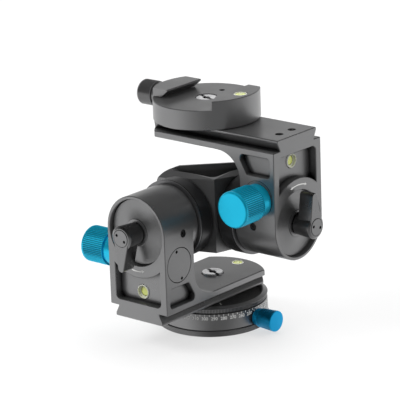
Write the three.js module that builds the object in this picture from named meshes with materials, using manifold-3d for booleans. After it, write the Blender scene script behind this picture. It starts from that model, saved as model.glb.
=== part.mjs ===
// Geared tripod head: a panning base, two worm driven tilt units set at a right
// angle to each other on one hollow elbow, and a dovetail plate clamp on top.
// Millimetres, +Z up. The origin is the middle of the underside of the whole
// part's box, at rest with both tilts level.
import * as THREE from 'three';
import { mergeVertices } from 'three/addons/utils/BufferGeometryUtils.js';
import Module from 'manifold-3d';

const wasm = await Module();
wasm.setup();

// Shared clearances and finish
const clear = 0.3; // gap between neighbouring pieces
const overrun = 1; // how far a cut runs past the face it opens
const segsBig = 36; // sides of the large rounds
const segsMid = 20;
const segsSmall = 12;
const cornerSteps = 3; // steps in a small rounded corner

// Tilt unit: an L shaped bracket, seen along its own three directions:
// a = along the drum axis, outward; s = sideways, to the knob; h = to the plate
const drumReach = 44.5; // elbow's mounting face to the outer face of the leg
const plateToAxis = 56.5; // drum axis to the outer face of the plate
const legWidth = 46;
const legThick = 26.5;
const slabThick = 4; // full width part of the arm
const dovetailHeight = 7.1; // slab to the outer face of the plate
const dovetailWidth = 38;
const neckWidth = 33.2;
const neckRise = 0.6; // straight foot of the neck
const dovetailLand = 1.4; // upright side of the dovetail
const dovetailBevel = 0.5;
const armEndRadius = 33; // round end of the arm, about the pan axis
const filletRadius = 17; // arm to leg, inside
const drumWall = 2.1;
const platePinRadius = 2.7; // two blind holes near the leg
const platePinDepth = 5;
const platePinSpacing = 12.2;
const platePinInset = 8.8; // outer face to the blind holes
const sideHoleRadius = 2.35; // small blind hole in each side
const sideHoleDepth = 1.7;
const sideHoleInset = 17.6;
const sideHoleRise = 0.8;

// Window in the outer face and pockets in the sides of the leg
const windowSide = 5; // window to each side of the leg
const windowDepth = 5.2;
const windowMargin = 11.4; // plate face to the window
const bossProud = 5.6; // how far the round boss under the window passes the leg's round end
const windowCorner = 3;
const pocketWall = 0.8; // left between a pocket and the window
const pocketInset = 3.5; // outer face to the pocket
const pocketMargin = 11; // plate face to the pocket
const pocketHeight = 12.3;
const pocketLong = 23; // its widest point, a little above its near edge
const pocketShort = 17.8;
const pocketShoulder = 3;
const pocketCorner = 2;

// Drum: rear cover, bearing and the front dish
const coverProud = 2; // how far the rear cover stands out round the drum
const coverLip = 1.2;
const coverSpigot = 4.7;
const coverEdge = 0.4; // bevel of its bright rim
const bearingLength = 6.7;
const dishInset = 2.9; // outer face to the rim of the dish
const dishRise = 1.7; // how far its cone stands up at the collar
const dishLand = 1.6; // flat rim of the dish
const dishBack = 7.4; // outer face to the back of the dish
const collarRadius = 8.6;
const collarWall = 1.9;
const collarInset = 0.5; // outer face to the top of the collar

// Worm gear
const wheelTeeth = 36;
const gearModule = 0.8;
const wormPitchRadius = 4.1;
const toothReach = 0.6; // tooth height above the pitch circle
const toothRoot = 0.9; // tooth depth below it
const toothTip = 0.5; // flat width of a tooth tip
const toothFoot = 1.2; // width of a tooth at its root
const wheelWidth = 7;
const wheelHubRadius = 12;
const wormInset = 12.8; // outer face to the worm axis
const wormTurns = 4;
const samplesPerTurn = 8;
const journalRadius = 2.4;
const bushRadius = 5;
const bushLength = 8;
const bushSetBack = 1.5; // knob's hub to the bush

// Worm end cap, an eccentric cap with two spanner holes
const capRadius = 10.85;
const capThick = 2.6;
const capOffset = 1.2; // cap centre beyond the worm axis
const capSpigot = 8;
const spannerReach = 9.1;
const spannerAngle = 0.22; // radians
const spannerRadius = 1;
const spannerDepth = 1.4;

// Knob on the worm
const knobRadius = 11.4;
const knobBody = 17.6;
const knobEdge = 0.8;
const knobCollarRadius = 10.4;
const knobCollarLength = 6.2;
const knobStepLength = 0.8;
const knobStepRadius = 9.9;
const knobStandOff = 0.3; // housing side to the knob
const knobHubRadius = 6.6;
const knobHubSink = 2; // how far the hub dips into the housing
const hubBoreDepth = 2.5;
const journalInKnob = 14;
const journalBoreDepth = 15;

// Clutch lever on the drum axis
const leverStart = 0.3; // outer face to the foot of the hub
const leverFace = 13.5; // outer face to the front of the lever
const leverArmStart = 3.5; // outer face to the back of the arm
const leverFootRadius = 6.7;
const leverHubRadius = 7.6; // its widest, just behind the bevel
const leverHubBevel = 1;
const leverHeadRadius = 6.2; // its front, inside the bevel
const leverLength = 19.5; // drum axis to the centre of its tip
const leverTipRadius = 2.3;
const leverAngle = 0.055; // radians, toward the knob side
const leverStemRadius = 5;
const leverStemEnd = 7.6; // outer face to the inner end of the stem
const leverCapRadius = 5.3;
const leverCapDepth = 1.8;
const leverCapProud = 0.3;
const leverPinReach = 3.35;
const leverPinRadius = 0.8;
const leverPinDepth = 0.9;
const lowerPinAngle = -0.52; // radians, the two caps sit turned differently
const upperPinAngle = 0.31;

// Round spirit levels
const windowLevelRadius = 4.5;
const windowLevelRise = 39; // drum axis to the level in the window
const windowLevelProud = 0.8;
const windowLevelSink = 3.4;
const armLevelRadius = 3.8;
const armLevelPlace = 25; // pan axis to the level in the lower arm
const armLevelSink = 2.6;
const armLevelProud = 0.3;
const clampLevelRadius = 4.2;
const clampLevelPlace = 26.4;
const clampLevelSide = 1;
const clampLevelSink = 3;

// Elbow: a triangular hollow block between the two drums
const elbowHalf = 26; // pan axis to each mounting face
const elbowRise = 26.9; // drum axis to its top and to its underside
const elbowBackShare = 0.092; // slanted back ahead of the diagonal, as a share of elbowHalf
const elbowRoundProud = 3.4; // turned radius of both thin ends, past elbowHalf
const elbowEndInset = 5; // flat of each thin end, short of elbowHalf
const elbowEndFillet = 10.9; // joins the turned radius to that flat
const rimSlope = 0.138; // fall of the bevelled rim along each front face
const rimPitch = 1.08;
const noseLift = 6.6; // underside lifted at the front corner
const noseSlope = 0.11;
const elbowWallShare = 0.25; // walls, also as shares of elbowHalf
const elbowBackWallShare = 0.138;
const rimWidth = 2.6;
const backRimWidth = 1;
const cavityDepth = 40;
const cavityCorner = 1.8;
const mouthCorner = 4;

// Flange, spindle and nut that carry each drum on the elbow
const flangeLength = 10.7;
const flangeBevel = 0.9;
const flangeBevelLength = 2;
const spindleRadius = 9;
const studShare = 0.142; // stud and nut, as shares of elbowHalf
const nutShare = 0.215;
const nutLengthShare = 0.19;
const studProud = 1;
const nutSides = 6;

// Panning base
const ringRadius = 35.2;
const ringHeight = 3.6;
const ringWall = 6;
const baseHeight = 14.4;
const baseLowRadius = 34.5;
const baseTopRadius = 34;
const baseFloor = 5;
const baseBoreRadius = 28;
const baseBossRadius = 14;
const baseBossHeight = 12.4;
const bushOuterRadius = 8;
const bushThreadRadius = 4.7;
const bushThreadDepth = 11;
const discGap = 0.5; // dark gap line between the base and the turning disc
const discKnurlRadius = 33.9;
const discKnurlHeight = 2.6;
const discRimRadius = 34.3;
const discRimHeight = 0.2;
const discBevel = 2.2;
const discSeat = 18.8; // height of the face that the lower arm sits on
const discLip = 1.1; // flat top of the rim
const dishFloorDrop = 2.1;
const discBossRadius = 15;
const brakeInner = 19.5;
const brakeOuter = 25.4;
const brakeHeight = 8.2;
const bearingWall = 3;
const bearingRise = 2.6;
const lockHeight = 8.2;
const lockPadRadius = 2.4;
const lockPadStart = 25.7;
const lockPadLength = 3;
const lockScrewRadius = 2.2;
const lockKnobLength = 15.3;
const lockKnobInner = 6;
const lockKnobOuter = 6.7;
const lockKnobEdge = 0.7;
const lockScrewInKnob = 8;

// Screws through the arms
const screwHeadRadius = 6.5;
const screwHeadProud = 1.2;
const screwHeadSink = 2.3;
const screwShankRadius = 2.9;
const slotWidth = 1.7;
const slotDepth = 1.3;
const socketRadius = 2.2;
const socketDepth = 2.2;
const armScrewTipGap = 1;

// Dovetail clamp
const clampRadius = 33.4;
const clampHeight = 12.7;
const jawRise = 5.5; // jaws above the clamp's flat
const jawMouth = 17; // clamp centre to the upper edge of the jaws
const jawRoot = 22; // clamp centre to the foot of the jaws
const jawLand = 1; // upright tip of a jaw
const jawFoot = 0.4; // upright foot of a jaw
const fixedJawHalf = 20.8;
const movingJawFront = 17.5; // clamp centre to the front end of the moving jaw
const movingJawRear = 15.1;
const jawLegHalf = 10.6;
const jawLegDepth = 11;
const jawLegInner = 23.5;
const slotFloorGap = 0.5;
const rodRise = 8.8; // clamp underside to the rod axis
const rodRadius = 2.4;
const rodInner = 9;
const collarOuter = 39.3;
const jawCollarRadius = 7.3;
const clampKnobRadius = 8.1;
const clampKnobEnd = 51.6;
const clampKnobRound = 2.2;
const rodInKnob = 8;
const guideRadius = 1.2;
const guideSpacing = 15;
const guideInner = 14;
const guideInJaw = 4;
const stopHoleRadius = 1.75;
const stopHolePlace = 17.5;
const stopHoleSide = 2;
const stopHoleDepth = 4;

// Everything below follows from the sizes above
const endRadius = legWidth / 2;
const faceOffset = elbowHalf + drumReach; // pan axis to the outer face of the leg
const windowWidth = legWidth - 2 * windowSide;
const pocketDepth = windowSide - pocketWall;
const bossRadius = endRadius + bossProud;
const coverRadius = endRadius + coverProud;
const flangeRadius = coverRadius;
const bushEnd = endRadius - knobHubSink - bushSetBack;
const elbowBackSet = elbowHalf * elbowBackShare;
const elbowRound = elbowHalf + elbowRoundProud;
const elbowEnd = elbowHalf - elbowEndInset; // drum axis to that flat
const elbowWall = elbowHalf * elbowWallShare;
const elbowBackWall = elbowHalf * elbowBackWallShare;
const studRadius = elbowHalf * studShare;
const nutRadius = elbowHalf * nutShare;
const nutLength = elbowHalf * nutLengthShare;
const boreRadius = endRadius - drumWall;
const legInner = faceOffset - legThick;
const slabOuter = plateToAxis - dovetailHeight;
const slabInner = slabOuter - slabThick;
const flangeStart = elbowHalf + clear;
const flangeEnd = flangeStart + flangeLength;
const coverStart = flangeEnd + clear;
const drumStart = coverStart + coverLip + clear;
const spigotEnd = coverStart + coverLip + coverSpigot;
const bearingStart = spigotEnd + clear;
const bearingEnd = bearingStart + bearingLength;
const holeRadius = spindleRadius + clear; // bores that the spindle runs in
const wheelPitchRadius = gearModule * wheelTeeth / 2;
const wormRise = wheelPitchRadius + wormPitchRadius;
const wormPlace = faceOffset - wormInset;
const wormPitch = Math.PI * gearModule;
const wheelTip = wheelPitchRadius + toothReach;
const wheelRootRadius = wheelPitchRadius - toothRoot;
const wormTip = wormPitchRadius + toothReach;
const wormRoot = wormPitchRadius - toothRoot;
const wheelStart = wormPlace - wheelWidth / 2;
const wheelEnd = wormPlace + wheelWidth / 2;
const axisHeight = discSeat + clear + plateToAxis;
const clampBase = axisHeight + plateToAxis + clear;
const clampFlat = clampBase + clampHeight;
const jawTop = clampFlat + jawRise;
const rodHeight = clampBase + rodRise;
const discStart = baseHeight + discGap;
const lockKnobStart = ringRadius + clear;
const lockKnobEnd = lockKnobStart + lockKnobLength;

// A closed mesh as a solid, with its faces turned outward
function solid(geometry) {
  geometry.deleteAttribute('normal');
  geometry.deleteAttribute('uv');
  const merged = mergeVertices(geometry);
  const points = Float32Array.from(merged.attributes.position.array);
  const corners = [];
  const index = merged.index.array;
  for (let i = 0; i < index.length; i += 3) {
    const [p, q, r] = [index[i], index[i + 1], index[i + 2]];
    if (p !== q && q !== r && r !== p) corners.push(p, q, r);
  }
  let volume = 0;
  const at = (i) => new THREE.Vector3().fromArray(points, i * 3);
  for (let i = 0; i < corners.length; i += 3) {
    volume += at(corners[i]).dot(at(corners[i + 1]).cross(at(corners[i + 2])));
  }
  if (volume < 0) corners.reverse();
  return new wasm.Manifold(new wasm.Mesh({
    numProp: 3, vertProperties: points, triVerts: Uint32Array.from(corners),
  }));
}

const basis = (x, y, z) => new THREE.Matrix4().makeBasis(
  new THREE.Vector3(...x), new THREE.Vector3(...y), new THREE.Vector3(...z));
const alongA = basis([0, 1, 0], [0, 0, 1], [1, 0, 0]);
const alongS = basis([1, 0, 0], [0, 0, 1], [0, 1, 0]);
const alongH = new THREE.Matrix4();
const planes = { a: alongA, s: alongS, h: alongH };

// A flat outline pulled along one direction, between two places.
// The outline is (s, h) for a, (a, h) for s and (a, s) for h.
function prism(outline, direction, from, to) {
  const shape = new THREE.Shape(outline.map(([u, v]) => new THREE.Vector2(u, v)));
  const geometry = new THREE.ExtrudeGeometry(shape, { depth: to - from, bevelEnabled: false });
  geometry.translate(0, 0, from);
  geometry.applyMatrix4(planes[direction]);
  return solid(geometry);
}

// A profile of [place along the axis, radius] turned about a line through (u, v)
function turned(profile, direction, segs, u = 0, v = 0) {
  const points = profile.map(([t, r]) => new THREE.Vector2(r, t));
  if (profile[0][1] > 0) points.push(points[0].clone());
  const geometry = new THREE.LatheGeometry(points, segs);
  geometry.rotateX(Math.PI / 2);
  geometry.translate(u, v, 0);
  geometry.applyMatrix4(planes[direction]);
  return solid(geometry);
}

const rod = (direction, from, to, radius, segs, u = 0, v = 0) =>
  turned([[from, 0], [from, radius], [to, radius], [to, 0]], direction, segs, u, v);
const ring = (direction, from, to, inner, outer, segs, u = 0, v = 0) =>
  turned([[from, inner], [from, outer], [to, outer], [to, inner]], direction, segs, u, v);
const block = (direction, from, to, u0, u1, v0, v1) =>
  prism([[u0, v0], [u1, v0], [u1, v1], [u0, v1]], direction, from, to);

// Rounds every corner of a convex or concave outline
function rounded(outline, radius, steps = cornerSteps) {
  const result = [];
  outline.forEach((corner, i) => {
    const here = new THREE.Vector2(...corner);
    const last = new THREE.Vector2(...outline[(i + outline.length - 1) % outline.length]);
    const next = new THREE.Vector2(...outline[(i + 1) % outline.length]);
    const back = last.sub(here).normalize();
    const on = next.sub(here).normalize();
    const half = Math.acos(back.dot(on)) / 2;
    const reach = radius / Math.tan(half);
    const centre = here.clone().addScaledVector(back.clone().add(on).normalize(),
      radius / Math.sin(half));
    const start = here.clone().addScaledVector(back, reach).sub(centre);
    const end = here.clone().addScaledVector(on, reach).sub(centre);
    const turn = Math.atan2(start.cross(end), start.dot(end));
    for (let k = 0; k <= steps; k += 1) {
      const p = start.clone().rotateAround(new THREE.Vector2(), turn * k / steps).add(centre);
      result.push([p.x, p.y]);
    }
  });
  return result;
}

// Points on an arc about (u, v)
function arc(u, v, radius, from, to, steps) {
  return Array.from({ length: steps + 1 }, (_, k) => {
    const angle = from + (to - from) * k / steps;
    return [u + radius * Math.cos(angle), v + radius * Math.sin(angle)];
  });
}

// Two outlines with the same number of points, joined from one height to another
function loft(low, lowHeight, high, highHeight) {
  const count = low.length;
  const points = [...low.map(([x, y]) => [x, y, lowHeight]),
    ...high.map(([x, y]) => [x, y, highHeight])];
  const corners = [];
  for (let i = 0; i < count; i += 1) {
    const j = (i + 1) % count;
    corners.push(i, j, count + j, i, count + j, count + i);
  }
  const caps = [low, high].map((outline) => THREE.ShapeUtils.triangulateShape(
    outline.map(([x, y]) => new THREE.Vector2(x, y)), []));
  caps[0].forEach(([p, q, r]) => corners.push(r, q, p));
  caps[1].forEach(([p, q, r]) => corners.push(count + p, count + q, count + r));
  const geometry = new THREE.BufferGeometry();
  geometry.setAttribute('position', new THREE.Float32BufferAttribute(points.flat(), 3));
  geometry.setIndex(corners);
  return solid(geometry);
}

// Materials, by what the piece is made of
const finish = (color, roughness, metalness) => ({ color, roughness, metalness });
const anodised = finish(0x6e6f72, 0.5, 0.75);
const dark = finish(0x2b2c2e, 0.42, 0.6);
const black = finish(0x161617, 0.35, 0.4);
const blue = finish(0x0a86c8, 0.35, 0.65);
const steel = finish(0xc4c6c8, 0.28, 0.95);
const brass = finish(0xb08d45, 0.35, 0.9);
const vial = finish(0xcfd884, 0.15, 0);

// A solid as a named mesh, with its faces kept outward when it is mirrored
function part(group, name, shape, look, place = new THREE.Matrix4()) {
  const mesh = shape.getMesh();
  const source = mesh.vertProperties;
  const positions = [];
  for (let i = 0; i < source.length; i += mesh.numProp) {
    positions.push(source[i], source[i + 1], source[i + 2]);
  }
  const index = Array.from(mesh.triVerts);
  if (place.determinant() < 0) index.reverse();
  const geometry = new THREE.BufferGeometry();
  geometry.setAttribute('position', new THREE.Float32BufferAttribute(positions, 3));
  geometry.setIndex(index);
  geometry.applyMatrix4(place);
  const node = new THREE.Mesh(geometry, new THREE.MeshStandardMaterial(look));
  node.name = name;
  group.add(node);
  return node;
}

// Bracket: leg with a round end, arm with its dovetail, drum stub
function bracket(withScrewHead, withArmLevel) {
  const outerTurns = arc(0, 0, endRadius, Math.PI, 2 * Math.PI, segsBig / 2);
  const legEdge = dovetailBevel;
  const leg = prism([...outerTurns, [endRadius, slabOuter - legEdge],
    [endRadius - legEdge, slabOuter], [legEdge - endRadius, slabOuter],
    [-endRadius, slabOuter - legEdge]], 'a', legInner, faceOffset);
  const neck = neckWidth / 2;
  const wide = dovetailWidth / 2;
  const flankFoot = plateToAxis - dovetailBevel - dovetailLand;
  const half = [[endRadius, slabInner], [endRadius, slabOuter], [neck, slabOuter],
    [neck, slabOuter + neckRise], [wide, flankFoot], [wide, plateToAxis - dovetailBevel],
    [wide - dovetailBevel, plateToAxis]];
  const mirrored = half.map(([s, h]) => [-s, h]).reverse();
  const arm = prism([...half, ...mirrored], 'a', -armEndRadius, faceOffset);
  const plan = rod('h', slabInner - overrun, plateToAxis + overrun, armEndRadius, segsBig)
    .add(block('h', slabInner - overrun, plateToAxis + overrun,
      0, faceOffset + overrun, -legWidth, legWidth));
  const filletA = legInner - filletRadius;
  const filletH = slabInner - filletRadius;
  const fillet = prism([...arc(filletA, filletH, filletRadius, Math.PI / 2, 0, segsMid / 4),
    [legInner + overrun, filletH], [legInner + overrun, slabInner + overrun],
    [filletA, slabInner + overrun]], 's', -endRadius, endRadius);
  const drum = rod('a', drumStart, legInner + overrun, endRadius, segsBig);
  let body = leg.add(arm.intersect(plan)).add(fillet).add(drum);

  // Bore for the drum, and the window against the round boss
  body = body.subtract(rod('a', drumStart - overrun, faceOffset + overrun, boreRadius, segsBig));
  const windowHalf = windowWidth / 2;
  const bossAngle = Math.acos(windowHalf / bossRadius);
  const windowFar = plateToAxis - windowMargin;
  const lowCorners = rounded([[windowHalf, 0], [windowHalf, windowFar],
    [-windowHalf, windowFar], [-windowHalf, 0]], windowCorner).slice(cornerSteps + 1,
    (cornerSteps + 1) * 3);
  const window = prism([...arc(0, 0, bossRadius, Math.PI - bossAngle, bossAngle, segsMid / 4),
    ...lowCorners], 'a', faceOffset - windowDepth, faceOffset + overrun);
  body = body.subtract(window);

  // Pockets in both sides
  const near = faceOffset - pocketInset;
  const top = plateToAxis - pocketMargin;
  const pocket = rounded([[near, top], [near - pocketLong + pocketShoulder / 2, top],
    [near - pocketLong, top - pocketShoulder], [near - pocketShort, top - pocketHeight],
    [near, top - pocketHeight]], pocketCorner);
  for (const side of [-1, 1]) {
    const ends = [side * (endRadius - pocketDepth), side * (endRadius + overrun)];
    body = body.subtract(prism(pocket, 's', Math.min(...ends), Math.max(...ends)));
    const holeEnds = [side * (endRadius - sideHoleDepth), side * (endRadius + overrun)];
    body = body.subtract(rod('s', Math.min(...holeEnds), Math.max(...holeEnds),
      sideHoleRadius, segsSmall, faceOffset - sideHoleInset, sideHoleRise));
    body = body.subtract(rod('h', plateToAxis - platePinDepth, plateToAxis + overrun,
      platePinRadius, segsSmall, faceOffset - platePinInset, side * platePinSpacing / 2));
  }

  // Worm bore, the seat of its eccentric cap, and the well round the knob's hub
  body = body.subtract(rod('s', -endRadius, endRadius + overrun,
    bushRadius + clear, segsMid, wormPlace, wormRise));
  body = body.subtract(rod('s', -endRadius - overrun, capThick + clear - endRadius,
    capRadius + clear, segsMid, wormPlace, wormRise + capOffset));
  body = body.subtract(rod('s', endRadius - hubBoreDepth, endRadius + overrun,
    knobHubRadius + 2 * clear, segsMid, wormPlace, wormRise));

  // Screw hole on the pan axis, and the seats of the levels
  body = body.subtract(rod('h', slabInner - overrun, plateToAxis + overrun,
    screwShankRadius + clear, segsSmall));
  if (withScrewHead) {
    body = body.subtract(rod('h', slabInner - overrun, slabInner + screwHeadSink + clear,
      screwHeadRadius + clear, segsMid));
  }
  if (withArmLevel) {
    body = body.subtract(rod('h', slabInner - overrun, slabInner + armLevelSink + clear,
      armLevelRadius + clear, segsSmall, -armLevelPlace, 0));
  }
  body = body.subtract(rod('a', faceOffset - windowDepth - windowLevelSink - clear,
    faceOffset, windowLevelRadius + clear, segsMid, 0, windowLevelRise));
  return body;
}

// Worm: a threaded rod whose ridge steps round by one sample per side
function worm() {
  const rows = wormTurns * samplesPerTurn;
  const step = wormPitch / samplesPerTurn;
  const points = [];
  const radiusAt = (row, side) => {
    if (row < 1 || row >= rows) return wormRoot;
    const phase = (((row - rows / 2 - side) % samplesPerTurn) + samplesPerTurn) % samplesPerTurn;
    const from = Math.min(phase, samplesPerTurn - phase) * step;
    const share = (from - toothTip / 2) / ((toothFoot - toothTip) / 2);
    return wormTip - (wormTip - wormRoot) * Math.min(Math.max(share, 0), 1);
  };
  for (let row = 0; row <= rows; row += 1) {
    for (let side = 0; side < samplesPerTurn; side += 1) {
      const angle = 2 * Math.PI * side / samplesPerTurn;
      const radius = radiusAt(row, side);
      points.push([-radius * Math.sin(angle), (row - rows / 2) * step,
        -radius * Math.cos(angle)]);
    }
  }
  const corners = [];
  const at = (row, side) => row * samplesPerTurn + side % samplesPerTurn;
  for (let row = 0; row < rows; row += 1) {
    for (let side = 0; side < samplesPerTurn; side += 1) {
      corners.push(at(row, side), at(row + 1, side), at(row + 1, side + 1));
      corners.push(at(row, side), at(row + 1, side + 1), at(row, side + 1));
    }
  }
  for (let side = 1; side < samplesPerTurn - 1; side += 1) {
    corners.push(at(0, 0), at(0, side), at(0, side + 1));
    corners.push(at(rows, 0), at(rows, side + 1), at(rows, side));
  }
  const geometry = new THREE.BufferGeometry();
  geometry.setAttribute('position', new THREE.Float32BufferAttribute(points.flat(), 3));
  geometry.setIndex(corners);
  geometry.translate(wormPlace, 0, wormRise);
  const inner = capThick + clear - endRadius + clear;
  const outer = endRadius - knobHubSink + journalInKnob;
  return solid(geometry).add(rod('s', inner, outer, journalRadius, segsSmall,
    wormPlace, wormRise));
}

// Wheel: straight teeth with a gap facing the plate, and a hub toward the elbow
function wheel() {
  const outline = [];
  const place = (radius, offset, tooth) => {
    const angle = 2 * Math.PI * (tooth + 1 / 2) / wheelTeeth + offset / radius;
    outline.push([radius * Math.sin(angle), radius * Math.cos(angle)]);
  };
  for (let tooth = 0; tooth < wheelTeeth; tooth += 1) {
    place(wheelRootRadius, -toothFoot / 2, tooth);
    place(wheelTip, -toothTip / 2, tooth);
    place(wheelTip, toothTip / 2, tooth);
    place(wheelRootRadius, toothFoot / 2, tooth);
  }
  return prism(outline, 'a', wheelStart, wheelEnd)
    .add(rod('a', bearingEnd + clear, wheelStart + overrun, wheelHubRadius, segsMid))
    .subtract(rod('a', bearingEnd, wheelEnd + overrun, holeRadius, segsMid));
}

function wormCap() {
  const face = -endRadius;
  const seat = capThick - endRadius;
  let cap = rod('s', face, seat, capRadius, segsMid, wormPlace, wormRise + capOffset)
    .add(rod('s', seat - overrun, seat + capSpigot, bushRadius, segsMid, wormPlace, wormRise));
  cap = cap.subtract(rod('s', seat, seat + capSpigot + overrun,
    journalRadius + clear, segsSmall, wormPlace, wormRise));
  for (const side of [-1, 1]) {
    cap = cap.subtract(rod('s', face - overrun, face + spannerDepth, spannerRadius, segsSmall,
      wormPlace - side * spannerReach * Math.sin(spannerAngle),
      wormRise + capOffset + side * spannerReach * Math.cos(spannerAngle)));
  }
  return cap;
}

function wormKnob() {
  const hub = endRadius - knobHubSink;
  const collar = endRadius + knobStandOff;
  const step = collar + knobCollarLength;
  const body = step + knobStepLength;
  const end = body + knobBody;
  return turned([[hub, 0], [hub, knobHubRadius], [collar, knobHubRadius],
    [collar, knobCollarRadius], [step, knobCollarRadius], [step, knobStepRadius],
    [body, knobStepRadius], [body, knobRadius], [end - knobEdge, knobRadius],
    [end, knobRadius - knobEdge], [end, 0]], 's', segsMid, wormPlace, wormRise)
    .subtract(rod('s', hub - overrun, hub + journalBoreDepth, journalRadius + clear, segsSmall,
      wormPlace, wormRise));
}

function frontDish() {
  const radius = boreRadius - clear;
  const rim = faceOffset - dishInset;
  const foot = rim + dishRise;
  const inner = collarRadius - collarWall;
  const top = faceOffset - collarInset;
  return turned([[faceOffset - dishBack, inner], [faceOffset - dishBack, radius], [rim, radius],
    [rim, radius - dishLand], [foot, collarRadius], [top, collarRadius], [top, inner]],
  'a', segsBig);
}

function lever() {
  const foot = faceOffset + leverStart;
  const front = faceOffset + leverFace;
  const tipHalf = leverTipRadius;
  const tip = arc(0, leverLength, tipHalf, 0, Math.PI, segsMid / 5);
  const head = arc(0, 0, leverHeadRadius, Math.PI, 2 * Math.PI, segsMid / 2);
  const turn = ([s, h]) => [s * Math.cos(leverAngle) + h * Math.sin(leverAngle),
    h * Math.cos(leverAngle) - s * Math.sin(leverAngle)];
  const arm = prism([...tip, ...head].map(turn), 'a', faceOffset + leverArmStart, front);
  const hub = turned([[faceOffset - leverStemEnd, 0], [faceOffset - leverStemEnd, leverStemRadius],
    [foot, leverStemRadius], [foot, leverFootRadius], [front - leverHubBevel, leverHubRadius],
    [front, leverHeadRadius], [front, 0]], 'a', segsMid);
  return arm.add(hub).subtract(rod('a', front - leverCapDepth - clear, front + overrun,
    leverCapRadius + clear, segsMid));
}

function leverCap(pinAngle) {
  const front = faceOffset + leverFace;
  let cap = rod('a', front - leverCapDepth, front + leverCapProud, leverCapRadius, segsMid);
  for (const side of [-1, 1]) {
    cap = cap.subtract(rod('a', front + leverCapProud - leverPinDepth, front + overrun,
      leverPinRadius, segsSmall, side * leverPinReach * Math.cos(pinAngle),
      side * leverPinReach * Math.sin(pinAngle)));
  }
  return cap;
}

function slottedScrew(direction, tip, seat, top) {
  const side = Math.sign(top - seat);
  const ends = (p, q) => [Math.min(p, q), Math.max(p, q)];
  return turned([[tip, 0], [tip, screwShankRadius], [seat, screwShankRadius],
    [seat, screwHeadRadius], [top, screwHeadRadius], [top, 0]], direction, segsMid)
    .subtract(block(direction, ...ends(top - side * slotDepth, top + side * overrun),
      -screwHeadRadius - overrun, screwHeadRadius + overrun, -slotWidth / 2, slotWidth / 2))
    .subtract(rod(direction, ...ends(top - side * socketDepth, top + side * overrun),
      socketRadius, nutSides));
}

// A thin end seen along its drum axis: round, with a filleted flat at its tip
function elbowEndOutline(side) {
  const centre = elbowEnd - elbowEndFillet;
  const rise = Math.sqrt((elbowRound - elbowEndFillet) ** 2 - centre ** 2);
  const angle = Math.atan2(rise, centre);
  const upper = [...arc(0, 0, elbowRound, Math.PI / 2, angle, segsMid / 5),
    ...arc(centre, rise, elbowEndFillet, angle, 0, segsMid / 5).slice(1)];
  const lower = upper.map(([u, v]) => [u, -v]).reverse();
  const far = -elbowHalf * 2;
  return [...upper, ...lower, [far, -elbowRound], [far, elbowRound]]
    .map(([u, v]) => [side * u, v]);
}

// Elbow, in the part's own X, Y, Z about the crossing of the drum axes
function elbow() {
  const top = elbowRise;
  let body = prism([[elbowHalf, -elbowHalf], [elbowHalf, elbowEnd],
    [elbowEnd + elbowBackSet, elbowEnd], [-elbowEnd, -elbowEnd - elbowBackSet],
    [-elbowEnd, -elbowHalf]], 'h', -elbowRise, top);

  // Thin ends turned round about each drum's axis
  const reach = elbowHalf * 2;
  body = body.intersect(prism(elbowEndOutline(1), 'a', -reach, reach))
    .intersect(prism(elbowEndOutline(-1), 's', -reach, reach));

  // Bevelled rim: a slanted plane above each front face, falling from the corner
  const wedge = () => {
    const geometry = new THREE.BoxGeometry(reach * 2, reach * 2, reach);
    geometry.translate(0, 0, reach / 2);
    return geometry;
  };
  const tilt = (slopeX, slopeY, height, flip) => {
    const normal = new THREE.Vector3(-slopeX, -slopeY, 1).normalize();
    if (flip) normal.negate();
    const turn = new THREE.Quaternion().setFromUnitVectors(new THREE.Vector3(0, 0, 1), normal);
    const place = new THREE.Matrix4().makeRotationFromQuaternion(turn)
      .setPosition(elbowHalf, -elbowHalf, height);
    return solid(wedge().applyMatrix4(place));
  };
  body = body.subtract(tilt(rimSlope, rimPitch, top, false));
  body = body.subtract(tilt(-rimPitch, -rimSlope, top, false));
  body = body.subtract(tilt(noseSlope, -noseSlope, noseLift - elbowRise, true));

  // Cavity, opened wider at the rim
  const cavity = (wall, backWall, corner) => {
    const front = elbowHalf - wall;
    const back = front - elbowBackSet - backWall * Math.SQRT2;
    return rounded([[front, -front], [front, back], [-back, -front]], corner);
  };
  const deep = cavity(elbowWall, elbowBackWall, cavityCorner);
  const mouthDrop = elbowWall - rimWidth;
  body = body.subtract(prism(deep, 'h', top - cavityDepth, top - mouthDrop / 2));
  body = body.subtract(loft(deep, top - mouthDrop, cavity(rimWidth - overrun,
    backRimWidth, mouthCorner), top + overrun));
  const studStart = elbowHalf - elbowWall - overrun;
  body = body.subtract(rod('a', studStart, elbowHalf + overrun, studRadius + clear, segsSmall));
  body = body.subtract(rod('s', -elbowHalf - overrun, -studStart, studRadius + clear, segsSmall));
  return body;
}

// The pieces between the elbow and a drum, and inside the drum
function flange() {
  return turned([[flangeStart, holeRadius], [flangeStart, flangeRadius - flangeBevel],
    [flangeStart + flangeBevelLength, flangeRadius], [flangeEnd, flangeRadius],
    [flangeEnd, holeRadius]], 'a', segsBig);
}
function spindle() {
  const nutEnd = elbowHalf - elbowWall - clear - nutLength;
  return turned([[nutEnd - studProud, 0], [nutEnd - studProud, studRadius],
    [flangeStart, studRadius], [flangeStart, spindleRadius], [wheelEnd, spindleRadius],
    [wheelEnd, 0]], 'a', segsMid);
}
function nut() {
  const end = elbowHalf - elbowWall - clear;
  return rod('a', end - nutLength, end, nutRadius, nutSides)
    .subtract(rod('a', end - nutLength - overrun, end + overrun, studRadius + clear, segsSmall));
}
function rearCover() {
  const lipEnd = coverStart + coverLip;
  return turned([[coverStart, holeRadius], [coverStart, coverRadius - coverEdge],
    [coverStart + coverEdge, coverRadius], [lipEnd, coverRadius],
    [lipEnd, boreRadius - clear], [spigotEnd, boreRadius - clear], [spigotEnd, holeRadius]],
  'a', segsBig);
}

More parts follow.
